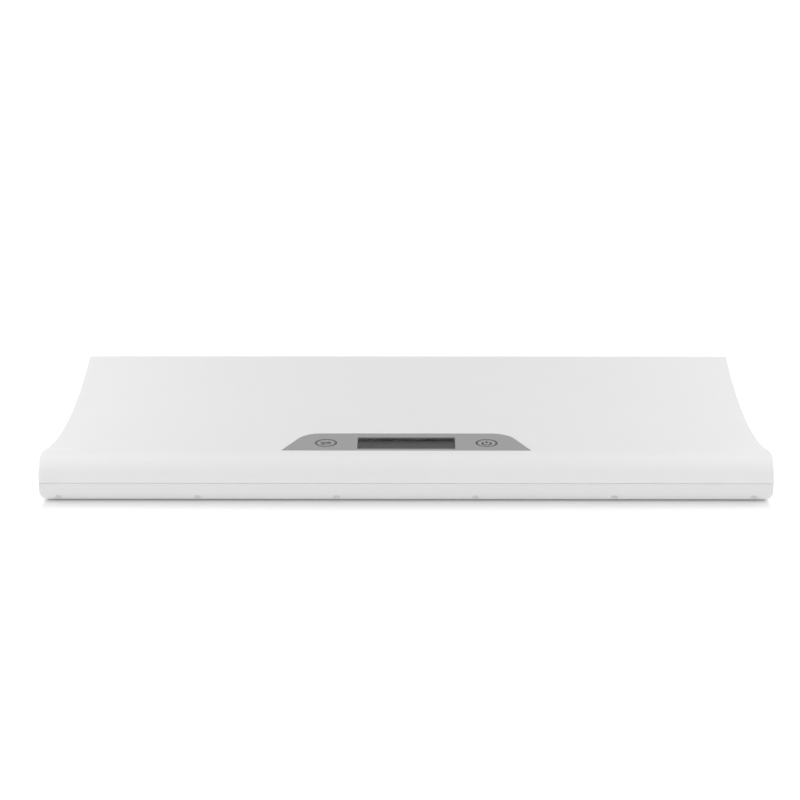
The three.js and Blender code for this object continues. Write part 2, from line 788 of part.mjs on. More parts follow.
// Load cell: a square plate whose tongue is cut free on three sides, with its strain gauge at the root
function loadCell(x, y) {
  const half = cellSide / 2;
  const tongue = cellTongueWidth / 2;
  const start = y - cellTongueLength / 2;
  const plate = box(x - half, x + half, y - half, y + half, cellUnder, cellTop);
  const long = (side) =>
    box(
      Math.min(x + side * tongue, x + side * (tongue + cellSlot)),
      Math.max(x + side * tongue, x + side * (tongue + cellSlot)),
      start,
      start + cellTongueLength,
      0,
      cellTop + overrun,
    );
  const outer = tongue + cellSlot;
  const across = box(x - outer, x + outer, start, start + cellSlot, 0, cellTop + overrun);
  const hole = post(x, y, 0, cellTop + overrun, footPinRadius + seatGap);
  const gaugeY = start + cellTongueLength - cellGaugeSide / 2;
  const gauge = box(
    x - cellGaugeSide / 2,
    x + cellGaugeSide / 2,
    gaugeY - cellGaugeSide / 2,
    gaugeY + cellGaugeSide / 2,
    cellTop - cellThickness / 2,
    cellTop + cellGaugeHeight,
  );
  return without(plate, [long(1), long(-1), across, hole]).add(gauge);
}

function cellClamp(x, y) {
  const half = cellSide / 2;
  const inner = half - clampRim;
  const ring = box(x - half, x + half, y - half, y + half, clampUnder, clampTop);
  const legs = sides.map((side) =>
    box(
      x - hookWidth / 2,
      x + hookWidth / 2,
      Math.min(y + side * half, y + side * (half - cellRest)),
      Math.max(y + side * half, y + side * (half - cellRest)),
      cellTop + seatGap,
      clampTop,
    ),
  );
  const open = box(x - inner, x + inner, y - inner, y + inner, clampUnder - overrun, clampTop + overrun);
  return joined([ring.subtract(open), ...legs]);
}

// Screws with a round head and a tapered end; z is the head's bearing face, and the head hangs below it
function screw(x, y, z, headRadius, headHeight, radius, length) {
  const head = post(x, y, z - headHeight, z, headRadius * screwHeadTopShare, cylinderFacets, headRadius);
  const shank = post(x, y, z - headHeight / 2, z + length - radius, radius, cylinderFacets / 2);
  const point = post(x, y, z + length - radius, z + length, radius, cylinderFacets / 2, radius / 2);
  return joined([head, shank, point]);
}

function caseScrew(x, y) {
  const seat = screwSeat - seatGap;
  const socket = post(
    x,
    y,
    seat - screwHeadHeight - overrun,
    seat - screwHeadHeight + screwSocketDepth,
    screwSocketRadius,
    socketFacets,
  );
  return screw(x, y, seat, screwHeadRadius, screwHeadHeight, screwRadius, screwLength).subtract(socket);
}

// Console pieces, in the console's own frame
function displayPanel() {
  const plate = slab(panelShape(0, seatGap), -panelThickness, 0);
  const opening = slab(
    roundedRectangle(-windowWidth / 2, windowWidth / 2, windowStart, windowEnd, windowCorner),
    -panelThickness - overrun,
    overrun,
  );
  const holes = sides.map((side) =>
    post(side * buttonX, consoleS, -panelThickness - overrun, overrun, buttonRadius + buttonGap, buttonFacets),
  );
  return without(plate, [opening, ...holes]);
}

function displayWindow() {
  const half = windowWidth / 2 + windowMargin;
  return slab(
    roundedRectangle(-half, half, windowStart - windowMargin, windowEnd + windowMargin, windowCorner),
    recessFloor - windowThickness,
    recessFloor,
  );
}

const lcdTop = skinUnder - seatGap;
const lcdStart = consoleS - lcdLength / 2;
const lcdEnd = consoleS + lcdLength / 2;

function lcdGlass() {
  const half = lcdWidth / 2;
  const joint = lcdTop - lcdThickness / 2;
  const lower = box(-half, half, lcdStart, lcdEnd, lcdTop - lcdThickness, joint);
  const upper = box(-half, half, lcdStart + lcdLedge - stripWidth, lcdEnd, joint, lcdTop);
  return lower.add(upper);
}

const stripStart = lcdStart + seatGap;
const stripEnd = stripStart + stripWidth;
const stripHalf = lcdWidth / 2 - lcdFrameWall;

function lcdFrame() {
  const half = lcdWidth / 2 + seatGap + lcdFrameWall;
  const start = lcdStart - seatGap - lcdFrameWall;
  const end = lcdEnd + seatGap + lcdFrameWall;
  const body = box(-half, half, start, end, lcdTop - lcdFrameDepth, lcdTop);
  const pocket = box(
    -lcdWidth / 2 - seatGap,
    lcdWidth / 2 + seatGap,
    lcdStart - seatGap,
    lcdEnd + seatGap,
    lcdTop - lcdThickness - seatGap,
    lcdTop + overrun,
  );
  const slot = box(
    -stripHalf - seatGap,
    stripHalf + seatGap,
    stripStart - seatGap,
    stripEnd + seatGap,
    lcdTop - lcdFrameDepth - overrun,
    lcdTop,
  );
  return without(body, [pocket, slot]);
}

const contactStrip = () =>
  box(-stripHalf, stripHalf, stripStart, stripEnd, boardTop + seatGap, lcdTop - lcdThickness - seatGap);

// Where the leads meet the board's underside
const plugXs = evenly(leadPlugCount, -leadPlugX, leadPlugX);

function displayBoard() {
  const plate = slab(
    roundedRectangle(-boardWidth / 2, boardWidth / 2, boardStart, boardEnd, windowCorner),
    boardUnder,
    boardTop,
  );
  const chip = box(
    -chipSide / 2,
    chipSide / 2,
    consoleS + plugLength,
    consoleS + plugLength + chipSide,
    boardUnder - chipHeight,
    boardUnder + boardThickness / 2,
  );
  const plugs = plugXs.map((x) =>
    box(
      x - plugWidth / 2,
      x + plugWidth / 2,
      boardStart + boardScrewInset,
      boardStart + boardScrewInset + plugLength,
      boardUnder - plugHeight,
      boardUnder + boardThickness / 2,
    ),
  );
  const holes = boardScrewPlaces.map(([u, s]) =>
    post(u, s, boardUnder - overrun, boardTop + overrun, boardScrewRadius + seatGap),
  );
  return without(joined([plate, chip, ...plugs]), holes);
}

function tactSwitch(u) {
  const under = boardTop + seatGap;
  const half = switchSide / 2;
  const body = box(u - half, u + half, consoleS - half, consoleS + half, under, under + switchHeight);
  const reach = skinUnder + consoleSkin - buttonFlangeHeight - buttonStemLength - buttonTravel - seatGap;
  const plunger = post(u, consoleS, under + switchHeight / 2, reach, switchPlungerRadius);
  const legs = sides.flatMap((side) =>
    sides.map((end) =>
      box(
        Math.min(u + side * half, u + side * (half + switchPinSide)) - seatGap,
        Math.max(u + side * half, u + side * (half + switchPinSide)) + seatGap,
        consoleS + (end * half) / 2 - switchPinSide / 2,
        consoleS + (end * half) / 2 + switchPinSide / 2,
        under,
        under + switchPinSide,
      ),
    ),
  );
  return joined([body, plunger, ...legs]);
}

// Button: a shallow domed cap, a flange held under the panel and a stem over the switch
function button(u) {
  const cap = post(u, consoleS, recessFloor, -buttonCrown, buttonRadius, buttonFacets);
  const top = buttonRadius - 2 * buttonCrown;
  const crown = post(u, consoleS, -buttonCrown, 0, buttonRadius, buttonFacets, top);
  const flangeUnder = recessFloor - buttonFlangeHeight;
  const flange = post(u, consoleS, flangeUnder, recessFloor, buttonRadius + buttonFlange, buttonFacets);
  const stem = post(u, consoleS, flangeUnder - buttonStemLength, flangeUnder + seatGap, buttonStemRadius);
  return joined([cap, crown, flange, stem]);
}

// Battery cover: plate with grip grooves, two tabs at the back and a bent spring latch at the front
function batteryCover() {
  const plate = slab(
    roundedRectangle(-coverHalfX, coverHalfX, bayY - coverHalfY, bayY + coverHalfY, coverCorner),
    baseLift,
    coverTop,
  );
  const tabUnder = baseLift + tabLipHeight + seatGap;
  const tabs = sides.flatMap((side) => {
    const x0 = side * tabX - tabWidth / 2;
    const x1 = side * tabX + tabWidth / 2;
    const tabTop = tabUnder + tabThickness;
    return [
      box(x0, x1, bayY + bayHalfY, hingeY, coverTop - overrun, tabTop),
      box(x0, x1, hingeY - overrun, hingeY + coverGap + tabReach - seatGap, tabUnder, tabTop),
    ];
  });
  const quarter = Math.PI / 2;
  const bendY = latchY + latchWall - latchBend;
  const bendZ = coverTop + latchRise - latchBend;
  const latch = bar(
    [
      new THREE.Vector2(bendY + latchBend, coverTop - overrun),
      ...arc(bendY, bendZ, latchBend, 0, 2 * quarter, cornerFacets),
      new THREE.Vector2(bendY - latchBend, baseLift + seatGap),
      new THREE.Vector2(bendY - latchBend + latchWall, baseLift + seatGap),
      ...arc(bendY, bendZ, latchBend - latchWall, 2 * quarter, 0, cornerFacets),
      new THREE.Vector2(bendY + latchBend - latchWall, coverTop - overrun),
    ],
    -latchWidth / 2,
    latchWidth / 2,
  );
  const grooves = Array.from({ length: gripGrooves }, (_, i) => {
    const y = latchY + gripStart + i * gripPitch;
    return box(
      -gripWidth / 2,
      gripWidth / 2,
      y - gripDepth,
      y + gripDepth,
      baseLift - overrun,
      baseLift + gripDepth,
    );
  });
  return without(joined([plate, ...tabs, latch]), grooves);
}

// Batteries lie along X, each second one turned round, with a spring at the flat end and a plate at the other
const cellYs = evenly(cellCount, bayY - cellSpan, bayY + cellSpan);
const cellTurns = cellYs.map((_, i) => (i % 2 === 0 ? 1 : -1));
const springEnd = -bayHalfX + seatGap + contactThickness;
const batteryFlat = springEnd + springLength + seatGap;

function battery() {
  const body = batteryLength - batteryTipLength;
  const edge = batteryTipLength;
  const profile = [
    new THREE.Vector2(0, 0),
    new THREE.Vector2(batteryRadius - edge, 0),
    new THREE.Vector2(batteryRadius, edge),
    new THREE.Vector2(batteryRadius, body - edge),
    new THREE.Vector2(batteryRadius - edge, body),
    new THREE.Vector2(batteryTipRadius, body),
    new THREE.Vector2(batteryTipRadius, batteryLength),
    new THREE.Vector2(0, batteryLength),
  ];
  const geometry = new THREE.LatheGeometry(profile, cylinderFacets);
  geometry.rotateZ(-Math.PI / 2);
  geometry.translate(batteryFlat, 0, 0);
  return solid(geometry);
}

class ConeSpring extends THREE.Curve {
  getPoint(t, target = new THREE.Vector3()) {
    const angle = 2 * Math.PI * springTurns * t;
    const radius = springLarge + (springSmall - springLarge) * t;
    const reach = springLength - springWire;
    return target.set(springEnd + reach * t, radius * Math.cos(angle), radius * Math.sin(angle));
  }
}

const contactPlate = (x0) =>
  box(x0, x0 + contactThickness, -contactSide / 2, contactSide / 2, -contactSide / 2, contactSide / 2);

function batterySpring() {
  const section = new THREE.Shape(arc(0, 0, springWire, 0, 2 * Math.PI, springFacets).slice(0, -1));
  const coil = new THREE.ExtrudeGeometry(section, {
    steps: springSteps * springTurns,
    extrudePath: new ConeSpring(),
  });
  return solid(coil).add(contactPlate(springEnd - contactThickness));
}

// Leads: round bundles along the base's floor, from each load cell and from the bay up to the board's plugs.
// A route has straight runs between corners, and each corner is a short bend.
class Route extends THREE.Curve {
  constructor(corners) {
    super();
    this.stops = [corners[0]];
    for (let i = 1; i < corners.length - 1; i += 1) {
      const towards = (end) =>
        new THREE.Vector3().subVectors(end, corners[i]).setLength(leadBend).add(corners[i]);
      const from = towards(corners[i - 1]);
      const to = towards(corners[i + 1]);
      this.stops.push(...new THREE.QuadraticBezierCurve3(from, corners[i], to).getPoints(bendFacets));
    }
    this.stops.push(corners[corners.length - 1]);
  }

  getPointAt(u) {
    const place = u * (this.stops.length - 1);
    const from = Math.min(Math.floor(place), this.stops.length - 2);
    return new THREE.Vector3().lerpVectors(this.stops[from], this.stops[from + 1], place - from);
  }

  getTangentAt(u) {
    const stop = Math.round(u * (this.stops.length - 1));
    const ahead = this.stops[Math.min(stop + 1, this.stops.length - 1)];
    return new THREE.Vector3().subVectors(ahead, this.stops[Math.max(stop - 1, 0)]).normalize();
  }
}

function lead(corners) {
  const section = new THREE.Shape(arc(0, 0, leadRadius, 0, 2 * Math.PI, leadFacets).slice(0, -1));
  const route = new Route(corners.map(([x, y, z]) => new THREE.Vector3(x, y, z)));
  return solid(new THREE.ExtrudeGeometry(section, { steps: route.stops.length - 1, extrudePath: route }));
}

const laneZ = floorTop + seatGap + leadRadius;
const rearLaneY = ribYs[0] - rearLaneStep;
const plugUnder = new THREE.Vector3(0, boardStart + boardScrewInset + plugLength / 2, boardUnder - plugHeight)
  .applyMatrix4(consoleFrame);
const upToPlug = (x) => [
  [x, plugUnder.y, laneZ],
  [x, plugUnder.y, plugUnder.z - seatGap],
];

function cellLead(x, y) {
  const side = Math.sign(x);
  const gateX = x - side * (cellSide / 2 + seatGap);
  const wallX = gateX - side * (cellGuardWall + 2 * leadBend);
  const gateZ = cellSeat + seatGap + leadRadius;
  if (y < 0) {
    const plugX = side * leadPlugX;
    const floorX = wallX - side * leadDrop;
    return lead([
      [gateX, y, gateZ],
      [wallX, y, gateZ],
      [floorX, y, laneZ],
      [plugX, y, laneZ],
      ...upToPlug(plugX),
    ]);
  }
  const plugX = (side * leadPlugX) / 2;
  return lead([
    [gateX, y, gateZ],
    [wallX, y, gateZ],
    [wallX, y - leadDrop, laneZ],
    [wallX, rearLaneY, laneZ],
    [plugX, rearLaneY, laneZ],
    ...upToPlug(plugX),
  ]);
}

function batteryLead() {
  const startY = bayY - bayHalfY - bayWall - seatGap;
  const startZ = bayTop - wall - leadRadius;
  return lead([
    [batteryLeadX, startY, startZ],
    [batteryLeadX, startY - 2 * leadBend, startZ],
    [batteryLeadX, startY - 2 * leadBend - leadDrop, laneZ],
    [batteryLeadX, rearLaneY + leadDrop, laneZ],
    [0, rearLaneY - leadDrop, laneZ],
    ...upToPlug(0),
  ]);
}

const parts = new THREE.Group();
const consoleGroup = new THREE.Group();
consoleGroup.applyMatrix4(consoleFrame);
parts.add(consoleGroup);

function place(group, name, body, material, position = [0, 0, 0], turn = 0) {
  const mesh = new THREE.Mesh(geometryOf(body), material);
  mesh.name = name;
  mesh.position.set(...position);
  mesh.rotation.z = turn;
  group.add(mesh);
}

place(parts, 'platform_shell', trayShell(), shellWhite);
place(parts, 'base_shell', baseShell(), baseWhite);
place(consoleGroup, 'display_bezel', displayPanel(), panelGrey);
place(consoleGroup, 'display_window', displayWindow(), clearPlate);
place(consoleGroup, 'lcd_glass', lcdGlass(), lcdDark);
place(consoleGroup, 'lcd_frame', lcdFrame(), frameWhite);
place(consoleGroup, 'lcd_contact_strip', contactStrip(), switchBlack);
place(consoleGroup, 'display_board', displayBoard(), boardGreen);
place(consoleGroup, 'unit_switch', tactSwitch(-buttonX), switchBlack);
place(consoleGroup, 'power_switch', tactSwitch(buttonX), switchBlack);
place(consoleGroup, 'unit_button', button(-buttonX), buttonGrey);
place(consoleGroup, 'power_button', button(buttonX), buttonGrey);

boardScrewPlaces.forEach(([u, s], i) => {
  const body = screw(
    u,
    s,
    boardUnder - seatGap,
    boardScrewHeadRadius,
    boardScrewHeadHeight,
    boardScrewRadius,
    boardScrewLength,
  );
  place(consoleGroup, `board_screw_${i + 1}`, body, steel);
});

feet.forEach(([where, x, y]) => {
  place(parts, `foot_pad_${where}`, footPad(x, y), rubberGrey);
  place(parts, `foot_cup_${where}`, footCup(x, y), frameWhite);
  place(parts, `load_cell_${where}`, loadCell(x, y), steel);
  place(parts, `load_cell_clamp_${where}`, cellClamp(x, y), frameWhite);
});

screwPlaces.forEach(([x, y], i) => place(parts, `case_screw_${i + 1}`, caseScrew(x, y), steel));
feet.forEach(([where, x, y]) => place(parts, `load_cell_lead_${where}`, cellLead(x, y), leadGrey));
place(parts, 'battery_lead', batteryLead(), leadGrey);

place(parts, 'battery_cover', batteryCover(), baseWhite);
const flatContact = contactPlate(bayHalfX - seatGap - contactThickness);
cellYs.forEach((y, i) => {
  const turn = cellTurns[i] > 0 ? 0 : Math.PI;
  const at = [0, y, batteryZ];
  place(parts, `battery_${i + 1}`, battery(), batterySleeve, at, turn);
  place(parts, `battery_spring_${i + 1}`, batterySpring(), steel, at, turn);
  place(parts, `battery_contact_${i + 1}`, flatContact, steel, at, turn);
});

export default parts;
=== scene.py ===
"""A digital baby weighing scale round its solids: white cradle tray, shallow base and grey console.

Metres, +Z up, +X to the right, front towards -Y, the origin on the floor under the middle.
"""

import math

import bpy
import numpy as np
from mathutils import Matrix, Vector


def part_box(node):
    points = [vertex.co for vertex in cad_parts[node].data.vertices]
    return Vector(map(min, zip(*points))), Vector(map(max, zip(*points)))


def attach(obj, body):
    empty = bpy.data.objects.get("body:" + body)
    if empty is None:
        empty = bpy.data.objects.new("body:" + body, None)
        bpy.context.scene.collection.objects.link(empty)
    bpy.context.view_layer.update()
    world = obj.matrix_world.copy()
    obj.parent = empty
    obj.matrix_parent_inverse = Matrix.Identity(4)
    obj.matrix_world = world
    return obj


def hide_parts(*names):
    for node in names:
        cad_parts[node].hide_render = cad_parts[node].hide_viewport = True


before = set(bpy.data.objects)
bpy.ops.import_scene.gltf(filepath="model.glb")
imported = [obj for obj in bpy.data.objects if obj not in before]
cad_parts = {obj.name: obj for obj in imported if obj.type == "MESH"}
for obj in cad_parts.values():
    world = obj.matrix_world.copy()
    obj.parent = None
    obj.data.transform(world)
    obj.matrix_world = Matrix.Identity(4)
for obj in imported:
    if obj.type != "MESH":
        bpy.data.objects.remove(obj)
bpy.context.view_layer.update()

bl_info = {
    "name": "Baby weighing scale",
    "version": (1, 0, 0),
    "blender": (4, 5, 0),
    "location": "3D View > Sidebar > Scale",
    "description": "Builds a digital baby weighing scale round its solids",
    "category": "Object",
}

MM = 0.001
QUARTER = math.pi / 2
SHARP_ANGLE = math.radians(34)
OVERRUN = 1 * MM

# Points along each stretch of the housing's section, round the rings of turned pieces and on small roundings
CORNER_POINTS = 12
LIP_POINTS = 14
TRAY_POINTS = 110
CROWN_POINTS = 12
NOSE_POINTS = 40
CHIN_POINTS = 8
EDGE_POINTS = 5
END_RINGS = 8
KEEL_RINGS = 10
TURN_POINTS = 96
SMALL_TURN_POINTS = 48
PANEL_CORNER_POINTS = 28
WINDOW_CORNER_POINTS = 10
SHOULDER_POINTS = 9
RIM_POINTS = 7
DISH_POINTS = 10
DOME_POINTS = 8

# Nodes of the solids that come in numbers
CASE_SCREWS = [f"case_screw_{index}" for index in range(1, 13)]
FOOT_PADS = [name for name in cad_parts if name.startswith("foot_pad_")]


# Properties

def length(size, description):
    """A length, given in millimetres and kept in metres."""
    return bpy.props.FloatProperty(description=description, default=size * MM, unit="LENGTH", precision=5)


def angle(degrees, description):
    """An angle, given in degrees and kept in radians."""
    return bpy.props.FloatProperty(description=description, default=math.radians(degrees), subtype="ANGLE")


def number(value, description, **extra):
    """A plain number."""
    return bpy.props.FloatProperty(description=description, default=value, **extra)


def share(value, description):
    """A number from 0 to 1."""
    return number(value, description, min=0, max=1, subtype="FACTOR")


def colour(levels, description):
    """A colour from its display levels, 0 to 1: three of them, or one for a grey."""
    levels = levels if isinstance(levels, tuple) else (levels,) * 3
    shades = [((level + 0.055) / 1.055) ** 2.4 for level in levels]
    return bpy.props.FloatVectorProperty(
        description=description, default=shades, subtype="COLOR", min=0, max=1
    )


def titled(group):
    """A group whose properties are named after their identifiers."""
    for key, entry in group.__annotations__.items():
        entry.keywords["name"] = key.replace("_", " ").capitalize()
    return group


@titled
class HousingSizes(bpy.types.PropertyGroup):
    """Sizes of the tray shell and the base shell"""

    width: length(550, "Overall, along X")
    depth: length(320, "From the bull nose to the back wall")
    lift: length(1.5, "Height of the base over the floor")
    nose: length(16, "Radius of the bull nose along the front")
    chin: angle(13, "Past the vertical, where the nose runs straight on to the front edge")
    chin_edge: length(0.5, "Radius between the base's front and its underside")
    crown: length(125, "Radius of the nearly flat top of the nose")
    crown_run: length(10, "From the top of the nose back to the crease")
    dip: length(19.9, "Height of the tray's lowest line")
    lip: length(1.5, "Radius of the tray's back edge")
    lean: angle(6, "How far the back wall leans in")
    corner: length(6, "Radius between the back wall and the underside")
    end: length(1.2, "Radius of both ends")
    keel: length(6, "Radius of the underside towards both ends")
    wall: length(2.4, "Thickness of both shells")
    seam: length(14.7, "Height of the tray's lower edge")
    seam_gap: length(0.2, "Between the two shells")
    tray_edge: length(0.15, "Radius of the tray's lower edge")
    base_edge: length(0.8, "Radius of the base's upper edge")
    finest: length(0.3, "Smallest radius left where a section is set in")
    mark_width: length(5, "Half-round marks along the base's front")
    mark_reach: length(4.4, "From the frontmost line to the end of a mark")
    mark_lip: length(0.8, "Unbroken edge under the marks")


@titled
class ConsoleSizes(bpy.types.PropertyGroup):
    """Sizes of the console, in its own frame: u along X, s up the panel, n square to it"""

    tilt: angle(5, "How far the panel leans back")
    step: length(0.2, "Of the panel's front edge below the crease")
    front_half: length(94.7, "Half of the panel's front edge")
    run: length(38.6, "From the panel's front edge to its back edge")
    slope: number(0.45, "How far a side runs in for each unit of length")
    corner: length(18.3, "Radius of both back corners")
    thickness: length(1.2, "Grey plate")
    rim: length(0.8, "White edge round the grey plate")
    shoulder: length(2.4, "Width of the rounded slope from the rim down")
    drop: length(6, "Height of that slope")
    skin: length(3, "Shell under the grey plate")
    gap: length(0.3, "Between pieces that seat on each other")
    window_width: length(74.3, "Opening over the display")
    window_length: length(25.7, "Opening over the display")
    window_start: length(4.6, "From the panel's front edge")
    window_margin: length(2, "Of the clear plate under the panel")
    window_corner: length(1, "Radius of the opening's corners")
    window_plate: length(1.2, "Thickness of the clear plate")
    # The dark liner is partly painted shade: a black border that darkens the back of the window.
    window_border: length(0.4, "Dark liner of the opening under the clear plate")
    button: length(6.8, "Radius of both caps")
    button_gap: length(0.4, "Round each cap")
    button_line: length(0.95, "Width of the line printed round each cap")


@titled
class UndersideSizes(bpy.types.PropertyGroup):
    """Sizes of what shows from below"""

    recess: length(2.8, "Radius of the recess round a case screw's head")
    recess_depth: length(4.1, "From the underside to the screw's seat")
    tower: length(4.2, "Radius of a screw tower inside the base")
    well: length(18.2, "Radius of the well round a foot's cup")
    well_roof: length(5.1, "Height of the well's roof")
    well_top: length(7.1, "Height of the roof's upper face")
    well_hole: length(8, "Radius of the hole for the foot's post")
    cover_gap: length(0.4, "Round the battery cover")
    cover_plate: length(2, "Thickness of the battery cover")
    cover_corner: length(1, "Corner radius of the battery cover")
    cover_edge: length(0.3, "Radius of the cover's outer edge")
    tab_x: length(16, "From the middle of the cover to a tab")
    tab_width: length(8, "Both tabs")
    tab_reach: length(2.7, "Past the cover's plate")
    tab_rise: length(2.4, "From the cover's outer face to the tabs")
    tab_plate: length(1.4, "Thickness of the tabs")
    latch_width: length(12, "Bent spring latch")
    latch_wall: length(1, "Thickness of the latch")
    latch_bend: length(1.4, "Outer radius of its bend")
    latch_reach: length(1.8, "In front of the cover's plate")
    latch_room: length(1.2, "Free space round the latch")
    groove_long: length(22, "Grip grooves in the cover")
    groove_wide: length(1, "Grip grooves in the cover")
    groove_deep: length(0.5, "Grip grooves in the cover")
    groove_pitch: length(2.4, "Grip grooves in the cover")
    groove_start: length(4.8, "From the latch's edge to the first groove")


@titled
class Finishes(bpy.types.PropertyGroup):
    """Colours of the finishes, and the strength of their relief"""

    tray: colour(0.925, "Moulded tray shell")
    base: colour(0.905, "Moulded base shell")
    panel: colour(0.595, "Console plate")
    button: colour(0.6, "Caps of the two buttons")
    mark: colour(0.04, "Symbols on the buttons")
    window: colour(0.8, "Clear plate over the display")
    display: colour((0.25, 0.26, 0.255), "Glass of the display when it is off")
    rubber: colour(0.36, "Foot pads")
    cup: colour(0.84, "Foot cups, frame and clamps")
    board: colour((0.1, 0.36, 0.22), "Circuit board")
    sleeve: colour((0.2, 0.27, 0.34), "Sleeve of the batteries")
    lead: colour(0.55, "Jacket of the leads")
    # The window liner in this colour is partly painted shade.
    black: colour(0.12, "Switches, contact strip and window liner")
    steel: colour(0.72, "Screws, load cells, springs and contacts")
    relief: share(0.12, "Strength of the moulded texture")


@titled
class StageSizes(bpy.types.PropertyGroup):
    """Camera, lamps and floor"""

    lens: number(116.78, "Focal length in millimetres")
    shift: number(-0.0164, "Of the picture, in widths of it")
    camera_x: length(10.2, "Place of the camera")
    camera_y: length(-2026.7, "Place of the camera")
    camera_z: length(544.3, "Place of the camera")
    pitch: angle(13.998, "How far the camera looks down")
    yaw: angle(0.15, "How far the camera turns to the left")
    sky: share(0.26, "Light from all round on matt surfaces")
    left: number(2.7, "Power of the left lamp in watts")
    right: number(2.55, "Power of the right lamp in watts")
    front: number(31, "Power of the front lamp in watts")
    floor: share(0.8, "Brightness of the floor")
    # Painted shadow: the floor gets a darker colour at the object's front than further off.
    floor_painted_shadow: share(0.6, "Brightness of the floor at the object's front")
    glow_front: share(0.15, "Added at the object's front to the floor that the camera sees")
    glow_near: share(0.4, "Added a short way off")
    bounce_front: share(0.47, "Light that the floor at the object's front throws on it")
    bounce_far: share(0.1, "The same from further off")
    bounce_under: share(0.6, "Light that the floor under the object throws on it")
    bounce_start: length(9, "How far from the object the front's light reaches unchanged")
    inner: length(14, "How far in the light underneath starts")
    near: length(36, "Distance of the near glow")
    beside: number(5, "How much faster the glow grows beside the object")
    far: length(500, "Distance at which the floor is fully lit")


# Outlines and meshes

def arc(u, v, radius, start, stop, count):
    """Points at equal angles on a circle: the centre plus the radius times cosine and sine."""
    turn = np.linspace(start, stop, count)
    return np.column_stack((u + radius * np.cos(turn), v + radius * np.sin(turn)))


def rounded_rectangle(u0, u1, v0, v1, radius):
    """Four quarter circles, one for each corner, anticlockwise from the lower right."""
    left, right, low, high = u0 + radius, u1 - radius, v0 + radius, v1 - radius
    return np.vstack([
        arc(u, v, radius, (turn - 1) * QUARTER, turn * QUARTER, WINDOW_CORNER_POINTS)
        for turn, (u, v) in enumerate(((right, low), (right, high), (left, high), (left, low)))
    ])


def circle(u, v, radius, count=TURN_POINTS):
    """A closed ring of points, anticlockwise."""
    return arc(u, v, radius, 0, 2 * math.pi, count + 1)[:-1]


def grid_faces(rows, columns):
    """Quads between neighbouring rows of a grid whose columns close on themselves."""
    row, column = np.meshgrid(np.arange(rows - 1), np.arange(columns), indexing="ij")
    after = (column + 1) % columns
    here, above = row * columns, (row + 1) * columns
    quads = np.stack((here + column, here + after, above + after, above + column), axis=-1)
    return quads.reshape(-1, 4).tolist()


def loft(rings):
    """Closed rings of equal length joined in order, with a flat face on the first and the last."""
    rows, columns, _ = rings.shape
    faces = grid_faces(rows, columns)
    faces.append(list(range(columns))[::-1])
    faces.append(list(range((rows - 1) * columns, rows * columns)))
    return rings.reshape(-1, 3), faces


def raised(outline, height):
    """Points of the XY plane with a height added to each."""
    return np.column_stack((outline, np.full(len(outline), height)))


def stack(outlines, heights):
    """Outlines of equal length in the XY plane, each lifted to its height, joined into a closed body."""
    return loft(np.array([raised(outline, height) for outline, height in zip(outlines, heights)]))


def prism(outline, low, high):
    """An outline carried straight up from one height to another."""
    return stack([outline, outline], [low, high])


def lathe(profile, count=TURN_POINTS):
    """A profile of (radius, height) turned round Z. Its first and last points close it on the axis."""
    profile = np.asarray(profile, dtype=float)
    radius, height = profile[1:-1].T
    turn = np.arange(count) * (2 * math.pi / count)
    rings = np.stack((
        np.outer(radius, np.cos(turn)),
        np.outer(radius, np.sin(turn)),
        np.repeat(height[:, None], count, axis=1),
    ), axis=-1)
    rows = len(radius)
    low, high = rows * count, rows * count + 1
    vertices = np.vstack((rings.reshape(-1, 3), [[0, 0, profile[0, 1]], [0, 0, profile[-1, 1]]]))
    faces = grid_faces(rows, count)
    faces += [[low, (i + 1) % count, i] for i in range(count)]
    last = (rows - 1) * count
    faces += [[high, last + i, last + (i + 1) % count] for i in range(count)]
    return vertices, faces


def moved(body, x, y, z=0.0):
    """A body shifted to a place."""
    vertices, faces = body
    return vertices + np.array([x, y, z]), faces


def turned(body, matrix):
    """A body carried through a 4 by 4 matrix."""
    vertices, faces = body
    m = np.array(matrix)
    return vertices @ m[:3, :3].T + m[:3, 3], faces


def together(bodies):
    """Several bodies that don't touch, as one list of vertices and faces."""
    vertices, faces, start = [], [], 0
    for body_vertices, body_faces in bodies:
        vertices.append(body_vertices)
        faces += [[start + index for index in face] for face in body_faces]
        start += len(body_vertices)
    return np.vstack(vertices), faces


def block(low, high):
    """A box between two corners, used only to cut."""
    x0, y0, z0 = low
    x1, y1, z1 = high
    return prism(np.array([[x0, y0], [x1, y0], [x1, y1], [x0, y1]]), z0, z1)


def cylinder(x, y, z0, z1, radius, count=SMALL_TURN_POINTS):
    """A straight round body, used only to cut or to join."""
    return prism(circle(x, y, radius, count), z0, z1)


def mesh_of(name, body):
    """A Blender mesh from vertices and faces."""
    vertices, faces = body
    mesh = bpy.data.meshes.new(name)
    mesh.from_pydata(vertices.tolist(), [], faces)
    mesh.validate()
    return mesh


def body_of(mesh):
    """Vertices and faces of a mesh, which is removed."""
    vertices = np.array([vertex.co[:] for vertex in mesh.vertices])
    faces = [list(polygon.vertices) for polygon in mesh.polygons]
    bpy.data.meshes.remove(mesh)
    return vertices, faces


